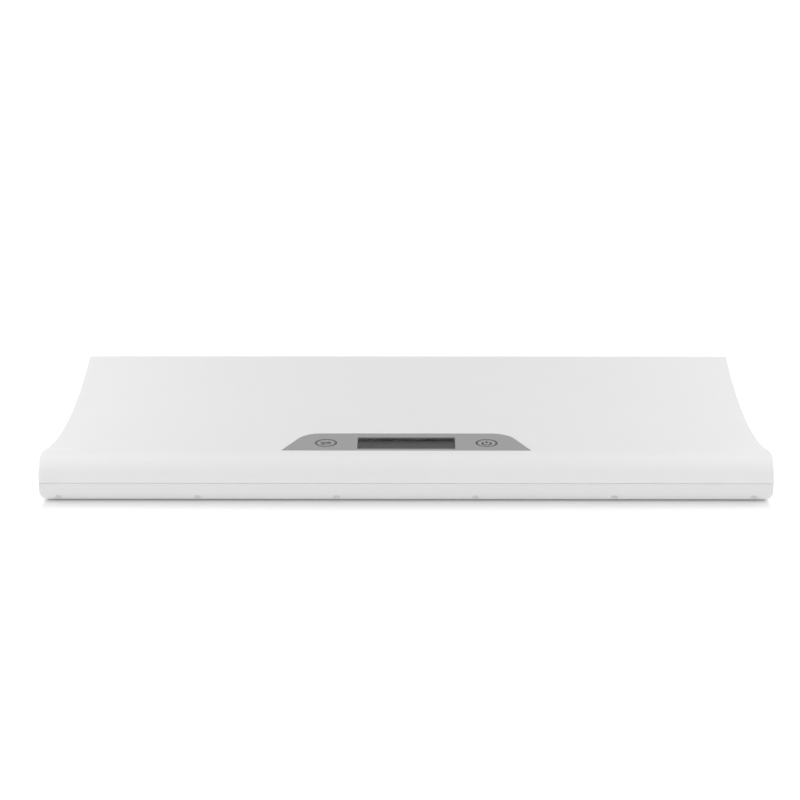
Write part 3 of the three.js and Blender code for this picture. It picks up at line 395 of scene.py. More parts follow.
def carved(name, body, cuts, added=()):
    """A mesh from a body, with others joined to it and then others cut out of it, by exact Booleans."""
    work = bpy.data.objects.new(name, mesh_of(name, body))
    bpy.context.collection.objects.link(work)
    extras = [work]
    for operation, tool_body in [("UNION", tool) for tool in added] + [("DIFFERENCE", tool) for tool in cuts]:
        tool = bpy.data.objects.new(name + "_tool", mesh_of(name + "_tool", tool_body))
        bpy.context.collection.objects.link(tool)
        modifier = work.modifiers.new(operation.lower(), "BOOLEAN")
        modifier.operation = operation
        modifier.solver = "EXACT"
        modifier.object = tool
        extras.append(tool)
    bpy.context.view_layer.update()
    mesh = bpy.data.meshes.new_from_object(work.evaluated_get(bpy.context.evaluated_depsgraph_get()))
    mesh.name = name
    for extra in extras:
        old = extra.data
        bpy.data.objects.remove(extra)
        bpy.data.meshes.remove(old)
    if not mesh.polygons:
        raise RuntimeError(f"the cuts left nothing of {name}")
    return mesh


def place_piece(name, mesh, slot, nodes=(), body="root", finish=None):
    """An object at the origin that carries a mesh, rides on a body and stands for CAD nodes. It has the
    finish of its slot, or another one. Its shading breaks only at sharp edges."""
    mesh.shade_smooth()
    mesh.set_sharp_from_angle(angle=SHARP_ANGLE)
    piece = bpy.data.objects.new(name, mesh)
    bpy.context.collection.objects.link(piece)
    mesh.materials.clear()
    mesh.materials.append(finish_named(finish or slot))
    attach(piece, body)
    if nodes:
        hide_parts(*nodes)


def middle_of(node):
    """X and Y of the middle of a solid."""
    low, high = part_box(node)
    return ((low + high) / 2)[:2]


# Housing

class Section:
    """Cross-section of the housing. Every line and arc is set in by one amount, as in the solids."""

    def __init__(self, sizes):
        self.h = sizes
        self.front = -sizes.depth / 2
        self.back = sizes.depth / 2
        self.end_x = sizes.width / 2
        self.nose_y = self.front + sizes.nose
        self.nose_z = sizes.lift + sizes.nose
        self.nose_top = self.nose_z + sizes.nose
        self.crown_z = self.nose_top - sizes.crown
        self.crease_y = self.nose_y + sizes.crown_run
        self.crease_z = self.crown_z + math.sqrt(sizes.crown**2 - sizes.crown_run**2)
        rise = self.crease_z - sizes.dip
        self.tray_radius = (self.crease_y**2 + rise**2) / (2 * rise)
        self.tray_z = sizes.dip + self.tray_radius
        lip_y = self.back - sizes.lip
        lip_z = self.tray_z - math.sqrt((self.tray_radius + sizes.lip) ** 2 - lip_y**2)
        self.back_line = lip_y * math.cos(sizes.lean) - lip_z * math.sin(sizes.lean) + sizes.lip

    def crease(self, inset):
        """Where the crown's circle, made smaller by the inset, meets the tray's, made larger by it."""
        near = self.h.crown - inset
        far = self.tray_radius + inset
        span_y, span_z = -self.nose_y, self.tray_z - self.crown_z
        span = math.hypot(span_y, span_z)
        along = (near**2 - far**2 + span**2) / (2 * span)
        aside = math.sqrt(max(near**2 - along**2, 0))
        return (
            self.nose_y + (along * span_y - aside * span_z) / span,
            self.crown_z + (along * span_z + aside * span_y) / span,
        )

    def upper(self, inset, floor):
        """From the back wall over the lip, tray and crown, and down the nose to a height."""
        h = self.h
        lip = max(h.lip - inset, h.finest)
        away = self.back_line - inset - lip
        reach = self.tray_radius + inset + lip
        foot_y, foot_z = away * math.cos(h.lean), -away * math.sin(h.lean)
        side = (foot_z - self.tray_z) * math.cos(h.lean) + foot_y * math.sin(h.lean)
        rest = foot_y**2 + (foot_z - self.tray_z) ** 2 - reach**2
        slide = -side - math.sqrt(side**2 - rest)
        lip_y, lip_z = foot_y + slide * math.sin(h.lean), foot_z + slide * math.cos(h.lean)
        crease_y, crease_z = self.crease(inset)
        tray_back = math.atan2(self.tray_z - lip_z, -lip_y)
        tray_front = math.atan2(crease_z - self.tray_z, crease_y)
        crown_back = math.atan2(crease_z - self.crown_z, crease_y - self.nose_y)
        nose_end = math.pi + math.asin((self.nose_z - floor) / (h.nose - inset))
        return np.vstack((
            [[self.back_at(inset, floor), floor]],
            arc(lip_y, lip_z, lip, -h.lean, tray_back, LIP_POINTS),
            arc(0, self.tray_z, self.tray_radius + inset, tray_back - math.pi, tray_front, TRAY_POINTS)[1:],
            arc(self.nose_y, self.crown_z, h.crown - inset, crown_back, QUARTER, CROWN_POINTS)[1:-1],
            arc(self.nose_y, self.nose_z, h.nose - inset, QUARTER, nose_end, NOSE_POINTS),
        ))

    def lower(self, inset, ceiling, lifted=0.0):
        """From a height down the nose, straight on to the chin's edge, under the base and up the back wall
        to the same height. The underside can be lifted."""
        h = self.h
        under = h.lift + lifted + inset
        edge = max(h.chin_edge - inset, h.finest)
        reach = h.nose - inset - edge
        run = (self.nose_z - reach * math.sin(h.chin) - under - edge) / math.cos(h.chin)
        edge_y = self.nose_y - reach * math.cos(h.chin) + run * math.sin(h.chin)
        heights = np.linspace(ceiling, under + edge - edge * math.sin(h.chin), CHIN_POINTS)[:-1]
        corner = max(h.corner - inset, h.finest)
        corner_z = under + corner
        corner_y = (self.back_line - inset - corner + corner_z * math.sin(h.lean)) / math.cos(h.lean)
        return np.vstack((
            [[self.front_at(inset, z), z] for z in heights],
            arc(edge_y, under + edge, edge, math.pi + h.chin, 3 * QUARTER, CORNER_POINTS),
            arc(corner_y, corner_z, corner, -QUARTER, -h.lean, CORNER_POINTS),
            [[self.back_at(inset, ceiling), ceiling]],
        ))

    def back_at(self, inset, z):
        """Y of the back wall at a height."""
        return (self.back_line - inset + z * math.sin(self.h.lean)) / math.cos(self.h.lean)

    def front_at(self, inset, z):
        """Y of the front at a height: round the nose, and straight on below the chin angle."""
        radius = self.h.nose - inset
        turned_off = self.nose_z - radius * math.sin(self.h.chin)
        if z < turned_off:
            return self.nose_y - radius * math.cos(self.h.chin) + (turned_off - z) * math.tan(self.h.chin)
        return self.nose_y - math.sqrt(radius**2 - (z - self.nose_z) ** 2)

    def ends(self):
        """Distances of the rings from an end: equal angles on the end's rounding, and on the keel's."""
        small = self.h.end * (1 - np.cos(np.linspace(0, QUARTER, END_RINGS)))
        large = self.h.keel * (1 - np.cos(np.linspace(0, QUARTER, KEEL_RINGS)))
        return sorted({*small.tolist(), *large.tolist()}, reverse=True)

    def set_in(self, away, extra):
        """Inset and X of the rounded end at a distance from it, in a form set in by an extra amount."""
        if away >= self.h.end:
            return extra, self.end_x - away
        turn = math.acos(1 - away / self.h.end)
        radius = self.h.end - extra
        return extra + radius * (1 - math.sin(turn)), self.end_x - extra - radius * (1 - math.cos(turn))

    def lifted(self, away):
        """How far the keel's rounding has lifted the underside at a distance from the end."""
        keel = self.h.keel
        return keel - math.sqrt(keel**2 - max(keel - away, 0) ** 2)

    def half(self, main, start, radius, toward):
        """Half of the housing on one side of the seam. main gives the section's points for an inset and a
        lift, without the rounded edge, a quarter circle at the seam. Rings run along X, are set in round both
        ends, and close with a flat face. The rounded edge runs on across each end face as narrow strips."""
        turn = np.linspace(0, QUARTER, EDGE_POINTS)
        steps = list(zip(radius * (1 - np.cos(turn)), start + toward * radius * np.sin(turn)))[1:]
        rings = []
        for away in self.ends():
            inset, x = self.set_in(away, 0)
            middle = main(inset, self.lifted(away))
            middle = np.column_stack((np.full(len(middle), x), middle))
            front, back = [], []
            for extra, z in steps:
                inset, edge_x = self.set_in(away, extra)
                front.append([edge_x, self.front_at(inset, z), z])
                back.append([edge_x, self.back_at(inset, z), z])
            before, after = (back[::-1], front) if toward < 0 else (front[::-1], back)
            rings.append(np.vstack((before, middle, after)))
        right = np.array(rings)
        left = right[::-1] * np.array([-1, 1, 1])
        every = np.concatenate((left, right))
        rows, columns, _ = every.shape
        faces = grid_faces(rows, columns)
        count = len(steps)
        for first, outward in ((0, False), ((rows - 1) * columns, True)):
            ends = [(first + step, first + columns - 1 - step) for step in range(count)]
            strips = [[low, low + 1, high - 1, high] for low, high in ends]
            for face in [list(range(first + count, first + columns - count)), *strips]:
                faces.append(face if outward else face[::-1])
        return every.reshape(-1, 3), faces

    def tray_half(self):
        """The upper half, above the seam."""
        start = self.h.seam + self.h.tray_edge
        return self.half(lambda inset, lifted: self.upper(inset, start), start, self.h.tray_edge, -1)

    def base_half(self):
        """The lower half, below the seam."""
        start = self.h.seam - self.h.seam_gap - self.h.base_edge
        return self.half(lambda inset, lifted: self.lower(inset, start, lifted), start, self.h.base_edge, 1)


def plain_bar(outline, half):
    """An outline of (y, z) points, anticlockwise from +X, carried straight along X to both sides."""
    rings = [np.column_stack((np.full(len(outline), x), outline)) for x in (-half, half)]
    return loft(np.array(rings))


def console_matrix(section, console):
    """From the console's frame, which starts just under the crease, to the object's."""
    start = Matrix.Translation((0, section.crease_y, section.crease_z - console.step))
    return start @ Matrix.Rotation(console.tilt, 4, "X")


def panel_outline(console, grow, front):
    """The panel's outline grown on its sides and back: two straight sides that run in, two round corners."""
    stretch = math.hypot(1, console.slope)
    centre_s = console.run - console.corner
    centre_u = console.front_half - console.slope * centre_s - console.corner * stretch
    half_front = console.front_half - console.slope * front + grow * stretch
    side = math.atan(console.slope)
    right = arc(centre_u, centre_s, console.corner + grow, side, QUARTER, PANEL_CORNER_POINTS)
    left = right[::-1] * np.array([-1, 1])
    return np.vstack(([[-half_front, front], [half_front, front]], right, left))


def window_outline(console, grow):
    """The window's outline grown all round."""
    half, start = console.window_width / 2 + grow, console.window_start - grow
    end = console.window_start + console.window_length + grow
    return rounded_rectangle(-half, half, start, end, console.window_corner)


def console_middle(console):
    """Distance up the panel to the middle of the window and of the buttons."""
    return console.window_start + console.window_length / 2


def recess_floor(console):
    """Height of the recess's floor under the grey plate."""
    return -(console.thickness + console.gap)


def button_places(console_frame):
    """The two buttons' middles in the console's frame, taken from their solids."""
    places = {}
    inverse = console_frame.inverted()
    for name in ("unit_button", "power_button"):
        low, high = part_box(name)
        places[name] = (inverse @ ((low + high) / 2))[0]
    return places


# Finishes

class Signal:
    """One number that varies over a surface. Arithmetic on it adds Math nodes."""

    def __init__(self, nodes, socket):
        self.nodes = nodes
        self.socket = socket

    def __add__(self, other):
        return self.nodes.math("ADD", self, other)

    __radd__ = __add__

    def __mul__(self, other):
        return self.nodes.math("MULTIPLY", self, other)

    __rmul__ = __mul__

    def __sub__(self, other):
        return self.nodes.math("SUBTRACT", self, other)

    def __rsub__(self, other):
        return self.nodes.math("SUBTRACT", other, self)

    def __gt__(self, other):
        return self.nodes.math("GREATER_THAN", self, other)

    def __lt__(self, other):
        return self.nodes.math("LESS_THAN", self, other)

    def __abs__(self):
        return self.nodes.math("ABSOLUTE", self)


class Nodes:
    """The nodes of one tree"""

    def __init__(self, tree):
        self.tree = tree
        tree.nodes.clear()

    def link(self, source, socket):
        """Feed a socket from another one, or from a signal."""
        self.tree.links.new(source.socket if isinstance(source, Signal) else source, socket)

    def node(self, kind, settings=None, inputs=None):
        """A node of a kind, with its settings first and then its sockets' values or links."""
        node = self.tree.nodes.new(kind)
        for name, value in (settings or {}).items():
            setattr(node, name, value)
        for name, value in (inputs or {}).items():
            socket = node.inputs[name]
            if isinstance(value, (Signal, bpy.types.NodeSocket)):
                self.link(value, socket)
            elif socket.type == "RGBA" and len(value) == 3:
                socket.default_value = (*value, 1)
            else:
                socket.default_value = value
        return node

    def math(self, operation, *values):
        """One Math node on numbers or signals."""
        node = self.node("ShaderNodeMath", {"operation": operation}, dict(enumerate(values)))
        return Signal(self, node.outputs[0])

    def seen_directly(self):
        """1 for rays from the camera, off gloss or through glass, and 0 for the light on matt surfaces."""
        rays = self.node("ShaderNodeLightPath").outputs
        kinds = ("Is Camera Ray", "Is Glossy Ray", "Is Transmission Ray")
        camera, glossy, through = (Signal(self, rays[kind]) for kind in kinds)
        return self.math("MINIMUM", camera + glossy + through, 1.0)


class Finish(Nodes):
    """One material: a Principled shader whose colour, roughness and relief vary over the surface."""

    def __init__(self, name, **constants):
        self.material = bpy.data.materials.new(name)
        self.material.use_nodes = True
        super().__init__(self.material.node_tree)
        self.shader = self.node("ShaderNodeBsdfPrincipled", inputs=constants)
        self.output = self.node("ShaderNodeOutputMaterial", inputs={"Surface": self.shader.outputs[0]})
        self.place = self.node("ShaderNodeTexCoord").outputs["Object"]

    def noise(self, scale, detail=2.0, stretch=None):
        """Smooth random variation, about 0.5 in the middle: scale in cycles a metre, detail in octaves."""
        place = self.place
        if stretch:
            inputs = {"Vector": place, "Scale": stretch}
            place = self.node("ShaderNodeMapping", {"vector_type": "POINT"}, inputs).outputs[0]
        inputs = {"Vector": place, "Scale": scale, "Detail": detail}
        node = self.node("ShaderNodeTexNoise", {"noise_dimensions": "3D"}, inputs)
        return Signal(self, node.outputs["Fac"])

    def cells(self, scale):
        """Distance to the nearest of a field of random points."""
        node = self.node("ShaderNodeTexVoronoi", {"feature": "F1"}, {"Vector": self.place, "Scale": scale})
        return Signal(self, node.outputs["Distance"])

    def axis(self, index):
        """One coordinate of the surface point, in metres."""
        return Signal(self, self.node("ShaderNodeSeparateXYZ", inputs={0: self.place}).outputs[index])

    def blend(self, factor, low, high):
        """A colour between two, by a varying factor."""
        node = self.node("ShaderNodeMix", {"data_type": "RGBA"}, {"Factor": factor, 6: low, 7: high})
        return node.outputs[2]

    def limits(self, signal, from_low, from_high, to_low, to_high):
        """A number carried from one range to another and held inside it."""
        inputs = {
            "Value": signal, "From Min": from_low, "From Max": from_high,
            "To Min": to_low, "To Max": to_high,
        }
        return Signal(self, self.node("ShaderNodeMapRange", {"clamp": True}, inputs).outputs[0])

    def feed(self, socket, source):
        """Drive a socket of the shader."""
        self.link(source, self.shader.inputs[socket])

    def tint(self, factor, base, low, high):
        """Base colour from one tint of a colour to another, by a varying factor."""
        self.feed("Base Color", self.blend(factor, tinted(base, low), tinted(base, high)))

    def gloss(self, signal, low, high, start=0.3, stop=0.7):
        """Roughness from low to high while a signal goes from start to stop."""
        self.feed("Roughness", self.limits(signal, start, stop, low, high))

    def relief(self, height, strength, depth):
        """Bump of a depth, from a height signal, into the shader's normal."""
        inputs = {"Strength": strength, "Distance": depth, "Height": height}
        self.feed("Normal", self.node("ShaderNodeBump", inputs=inputs).outputs["Normal"])


def tinted(base, amount):
    """A colour made lighter or darker by a share."""
    return tuple(min(channel * (1 + amount), 1.0) for channel in base)


def moulded(name, base, relief, roughness, coat=0.0, grain=2600.0, drift=0.012, spread=0.05):
    """Moulded plastic: a fine spark-eroded grain, faint drift of tone and small changes of gloss."""
    finish = Finish(name, **{"IOR": 1.46, "Coat Weight": coat, "Coat Roughness": 0.3})
    tone, gloss = finish.noise(scale=9.0, detail=3.0), finish.noise(scale=38.0, detail=4.0)
    speck, skin = finish.noise(scale=grain / 2, detail=1.0), finish.noise(scale=grain)
    pits = finish.cells(scale=grain * 0.6)
    finish.tint(tone * 0.8 + speck * 0.2, base, low=-drift, high=drift)
    finish.gloss(gloss + (speck - 0.5) * 0.4, low=roughness - spread, high=roughness + spread)
    finish.relief(skin + pits * 0.6, relief, depth=0.04 * MM)
    return finish.material


def printed_panel(name, base):
    """Grey plate with a satin texture: fine even grain and a very slight drift of tone."""
    finish = Finish(name, **{"IOR": 1.45})
    tone, grain = finish.noise(scale=14.0), finish.noise(scale=5200.0, detail=1.0)
    finish.tint(tone * 0.6 + grain * 0.4, base, low=-0.035, high=0.035)
    finish.gloss(grain, low=0.44, high=0.56)
    finish.relief(grain, strength=0.22, depth=0.03 * MM)
    return finish.material


def clear_plate(name, base, high_y):
    """Clear smoked plate with painted shade over its back third, a hard gloss and fine wipe marks."""
    finish = Finish(name, **{"Transmission Weight": 1.0, "IOR": 1.12, "Specular IOR Level": 0.3})
    # The band is painted shade: it darkens the plate's colour towards its back, where the opening's lit wall
    # shows through.
    band_start, band_stop = 9 * MM, 3 * MM
    band = finish.limits(finish.axis(1), high_y - band_start, high_y - band_stop, 0.0, 1.0)
    cloud, wipe = finish.noise(scale=20.0), finish.noise(scale=700.0)
    finish.tint(band * 0.95 + cloud * 0.05, base, low=0.02, high=-0.32)
    finish.gloss(wipe, low=0.04, high=0.07, start=0.35)
    return finish.material


def display_glass(name, base, low_y, high_y):
    """Display that is off: dark polariser, with a painted reflection that makes it lighter towards the front.
    """
    finish = Finish(name, **{"IOR": 1.3, "Specular IOR Level": 0.3})
    # Painted reflection: the colour runs from lighter at the front of the window to darker at its back.
    along = finish.limits(finish.axis(1), low_y, high_y, 1.0, 0.0)
    grain = finish.noise(scale=2400.0, detail=1.0)
    finish.tint(along * 0.92 + grain * 0.08, base, low=-0.5, high=0.55)
    finish.gloss(grain, low=0.22, high=0.34)
    finish.relief(grain, strength=0.1, depth=0.02 * MM)
    return finish.material


def rubber(name, base):
    """Foot rubber: dull, with a coarse cast skin and dust in its low places."""
    finish = Finish(name, **{"IOR": 1.5, "Specular IOR Level": 0.3})
    dust, grit = finish.noise(scale=420.0, detail=4.0), finish.cells(scale=1500.0)
    finish.tint(finish.limits(dust, 0.35, 0.75, 0.0, 1.0), base, low=-0.12, high=0.3)
    finish.gloss(grit, low=0.78, high=0.95, start=0.0)
    finish.relief(dust + grit * 0.5, strength=0.5, depth=0.1 * MM)
    return finish.material


def brushed_steel(name, base):
    """Plated steel: metal with fine drawn lines and a few duller patches."""
    finish = Finish(name, **{"IOR": 2.5})
    lines = finish.noise(scale=900.0, detail=3.0, stretch=(1, 14, 1))
    patch = finish.noise(scale=130.0, detail=3.0)
    finish.tint(lines * 0.6 + patch * 0.4, base, low=-0.16, high=0.12)
    finish.gloss(patch, low=0.24, high=0.42)
    finish.feed("Metallic", finish.limits(patch, 0.0, 0.3, 0.9, 1.0))
    finish.relief(lines, strength=0.15, depth=0.02 * MM)
    return finish.material


def circuit_board(name, base):
    """Board: green varnish over copper tracks that show as slightly lighter lines, and pale solder spots."""
    finish = Finish(name, **{"IOR": 1.5, "Coat Weight": 0.4, "Coat Roughness": 0.2})
    wander, pitch, space, spot, solder = 4 * MM, 1.2 * MM, 0.7 * MM, 0.16, (0.62, 0.6, 0.55)
    across = finish.axis(0) + finish.noise(scale=60.0) * wander
    tracks = finish.math("PINGPONG", across, pitch) > space
    spots = finish.cells(scale=210.0) < spot
    varnish = finish.blend(tracks * 0.6, tinted(base, -0.2), tinted(base, 0.5))
    finish.feed("Base Color", finish.blend(spots, varnish, solder))
    finish.gloss(finish.noise(scale=300.0), low=0.28, high=0.42)
    finish.relief(tracks + spots, strength=0.4, depth=0.05 * MM)
    return finish.material


def battery_sleeve(name, base):
    """Printed sleeve: dark body with a brass-coloured band at each end."""
    finish = Finish(name, **{"IOR": 1.5, "Coat Weight": 0.6, "Coat Roughness": 0.12})
    band_start, brass = 14.8 * MM, (0.55, 0.42, 0.2)
    band = abs(finish.axis(0)) > band_start
    scuff = finish.noise(scale=260.0, detail=4.0)
    body = finish.blend(scuff * 0.5, tinted(base, -0.15), tinted(base, 0.2))
    finish.feed("Base Color", finish.blend(band, body, brass))
    finish.gloss(scuff, low=0.26, high=0.4)
    finish.feed("Metallic", band * 0.75)
    return finish.material


def printed_mark(name, base):
    """Printed ink, a little uneven."""
    finish = Finish(name, **{"IOR": 1.45})
    ink = finish.noise(scale=3000.0)
    finish.tint(ink, base, low=-0.1, high=0.25)
    finish.gloss(ink, low=0.42, high=0.6)
    return finish.material


def finish_named(key):
    """The finish of a record slot, made once and kept by name."""
    scene = bpy.context.scene
    sizes, console = scene.scale_finishes, scene.scale_console
    relief = sizes.relief
    window = console_matrix(Section(scene.scale_housing), console)
    low_y = (window @ Vector((0, console.window_start, 0))).y
    high_y = low_y + console.window_length
    recipe, values = {
        "shell_white": (moulded, dict(base=sizes.tray, relief=relief, roughness=0.46, coat=0.05)),
        "base_white": (moulded, dict(base=sizes.base, relief=relief, roughness=0.5, coat=0.03)),
        "frame_white": (
            moulded, dict(base=sizes.cup, relief=relief, roughness=0.55, grain=1800.0, drift=0.03)
        ),
        "switch_black": (
            moulded, dict(base=sizes.black, relief=relief, roughness=0.5, grain=3000.0, drift=0.08)
        ),
        "lead_grey": (
            moulded, dict(base=sizes.lead, relief=relief, roughness=0.6, grain=1500.0, drift=0.05)
        ),
        "panel_grey": (printed_panel, dict(base=sizes.panel)),
        "button_grey": (printed_panel, dict(base=sizes.button)),
        "window_clear": (clear_plate, dict(base=sizes.window, high_y=high_y)),
        "lcd_dark": (display_glass, dict(base=sizes.display, low_y=low_y, high_y=high_y)),
        "board_green": (circuit_board, dict(base=sizes.board)),
        "rubber_grey": (rubber, dict(base=sizes.rubber)),
        "steel": (brushed_steel, dict(base=sizes.steel)),
        "battery_sleeve": (battery_sleeve, dict(base=sizes.sleeve)),
        "print_grey": (printed_mark, dict(base=sizes.mark)),
    }[key]
    name = "finish_" + key
    return bpy.data.materials.get(name) or recipe(name, **values)


def studio_floor(stage, housing):
    """White floor that keeps the object's shadow and deepens it with a painted shadow: matt white, but darker
    near the object's front, with light added where it is seen directly, more of it further off. From below
    it can't be seen."""
    finish = Finish("finish_floor", **{"Roughness": 0.9, "Specular IOR Level": 0.0, "Emission Strength": 1.0})
    black, white = (0.0, 0.0, 0.0), (1.0, 1.0, 1.0)
    half_x, half_y = housing.width / 2, housing.depth / 2
    x, y = abs(finish.axis(0)), abs(finish.axis(1))
    beside = finish.math("MAXIMUM", x - half_x + housing.keel, 0.0) * stage.beside
    before = finish.math("MAXIMUM", y - half_y, 0.0)
    away = finish.math("SQRT", beside * beside + before * before)
    # Painted shadow: the floor's colour is darker near the object's front.
    level = finish.limits(away, 0.0, stage.near, stage.floor_painted_shadow, stage.floor)
    finish.feed("Base Color", finish.blend(level, black, white))
    glow = finish.limits(away, 0.0, stage.near, stage.glow_front, stage.glow_near)
    glow = glow + finish.limits(away, stage.near, stage.far, 0.0, 1 - stage.glow_near)
    bounce = finish.limits(away, stage.bounce_start, stage.near, stage.bounce_front, stage.bounce_far)
    bounce = bounce * (away > 0.0)
    inside = (x < half_x - stage.inner) * (y < half_y - stage.inner)
    seen = finish.seen_directly()
    shine = glow * seen + (bounce + inside * stage.bounce_under) * (1 - seen)
    finish.feed("Emission Color", finish.blend(shine, black, white))
    back = finish.node("ShaderNodeNewGeometry").outputs["Backfacing"]
    gone = finish.node("ShaderNodeBsdfTransparent").outputs[0]
    both = finish.node("ShaderNodeMixShader", inputs={0: back, 1: finish.shader.outputs[0], 2: gone})
    finish.link(both.outputs[0], finish.output.inputs["Surface"])
    return finish.material


def studio_sky(level):
    """White all round: full strength where it is seen directly, and the given level as light."""
    world = bpy.data.worlds.new("studio_sky")
    world.use_nodes = True
    nodes = Nodes(world.node_tree)
    light, seen = (
        nodes.node("ShaderNodeBackground", inputs={"Color": (1, 1, 1), "Strength": strength}).outputs[0]
        for strength in (level, 1.0)
    )
    mix = nodes.node("ShaderNodeMixShader", inputs={0: nodes.seen_directly(), 1: light, 2: seen})
    nodes.node("ShaderNodeOutputWorld", inputs={"Surface": mix.outputs[0]})
    return world


def add_lamp(context, name, place, size, power):
    """A soft rectangular lamp at a place, turned to the origin. It isn't mirrored, so no side burns out."""
    data = bpy.data.lights.new(name, "AREA")
    data.shape = "RECTANGLE"
    data.size, data.size_y = size
    data.energy = power
    lamp = bpy.data.objects.new(name, data)
    context.collection.objects.link(lamp)
    lamp.location = place
    lamp.visible_camera = False
    lamp.visible_glossy = False
    lamp.rotation_euler = (-Vector(place)).to_track_quat("-Z", "Y").to_euler()


# Printed shapes and bands

def flat_ring(outer, inner, thickness):
    """A closed band between two rings of points, lifted to its thickness."""
    rings = [(outer, 0), (outer, thickness), (inner, thickness), (inner, 0)]
    levels = np.array([raised(ring, height) for ring, height in rings])
    count = len(outer)
    faces = grid_faces(len(levels), count)
    last = (len(levels) - 1) * count
    faces += [[last + i, last + (i + 1) % count, (i + 1) % count, i] for i in range(count)]
    return levels.reshape(-1, 3), faces


def ribbon(path, width, thickness):
    """A flat band along a path of (u, v) points, each moved to both sides along the path's normal."""
    path = np.asarray(path, dtype=float)
    ahead = np.gradient(path, axis=0)
    normal = np.column_stack((-ahead[:, 1], ahead[:, 0]))
    normal /= np.linalg.norm(normal, axis=1)[:, None]
    right = path - normal * width / 2
    left = path + normal * width / 2
    return prism(np.vstack((right, left[::-1])), 0, thickness)


def arrow_pair(ink):
    """Two opposite arrows, one over the other, in ink of a thickness."""
    line, width, half_tip = 1.9 * MM, 1.4 * MM, 1.7 * MM
    start, stop, tip_start, tip_end = -4.4 * MM, 1.4 * MM, 1.45 * MM, 4.6 * MM
    shapes = []
    for side in (1, -1):
        shaft = np.array([[start, line], [stop, line]]) * side
        tip = np.array([[tip_start, line - half_tip], [tip_end, line], [tip_start, line + half_tip]]) * side
        shapes += [ribbon(shaft, width, ink), prism(tip, 0, ink)]
    return shapes


def power_sign(ink):
    """A ring open at the top, with a stroke through the opening, in ink of a thickness."""
    middle, radius, width, opening = -0.5 * MM, 3.3 * MM, 1.3 * MM, math.radians(42)
    foot, head = 0.2 * MM, 4.6 * MM
    ring = arc(0, middle, radius, QUARTER + opening, 5 * QUARTER - opening, SMALL_TURN_POINTS)
    return [ribbon(path, width, ink) for path in (ring, [[0, foot], [0, head]])]


# Operators

class BuildTray(bpy.types.Operator):
    """Build the cradle tray with its nose, its raised back edge and the hump for the console"""

    bl_idname = "baby_scale.tray"
    bl_label = "Tray shell"

    def execute(self, context):
        h, console = context.scene.scale_housing, context.scene.scale_console
        section = Section(h)
        carry = console_matrix(section, console)
        hump_root, flange_room, travel_room, stem_hole = 14 * MM, 2 * MM, 1.6 * MM, 3.1 * MM
        recess_low, s = recess_floor(console), console_middle(console)
        skin_under = recess_low - console.skin
        front = -h.crown_run / 2
        turn = np.linspace(0, QUARTER, SHOULDER_POINTS)
        grows = console.rim + console.shoulder * np.sin(turn)
        slope = [panel_outline(console, grow, front) for grow in grows]
        heights = -console.drop * (1 - np.cos(turn))
        hump = stack([slope[-1], *slope[::-1]], [-hump_root, *heights[::-1]])
        inside = plain_bar(section.upper(h.wall, h.seam - OVERRUN), h.width / 2 - h.wall)
        room = turned(prism(slope[-1], skin_under, 10 * OVERRUN), carry)
        hollow = body_of(carved("tray_hollow", inside, [room]))
        plate_room = window_outline(console, console.window_margin + console.gap)
        cuts = [
            prism(panel_outline(console, console.gap, 0), recess_low, 2 * OVERRUN),
            prism(plate_room, recess_low - console.window_plate - console.gap, OVERRUN),
            prism(window_outline(console, console.gap), skin_under - 2 * OVERRUN, OVERRUN),
        ]
        flange_hole = console.button + flange_room
        for u in button_places(carry).values():
            cuts.append(cylinder(u, s, recess_low - travel_room, OVERRUN, flange_hole, TURN_POINTS))
            cuts.append(cylinder(u, s, skin_under - 2 * OVERRUN, OVERRUN, stem_hole))
        cuts = [hollow, *(turned(cut, carry) for cut in cuts)]
        mesh = carved("tray_shell", section.tray_half(), cuts, added=[turned(hump, carry)])
        place_piece("tray_shell", mesh, "shell_white", ["platform_shell"])
        return {"FINISHED"}


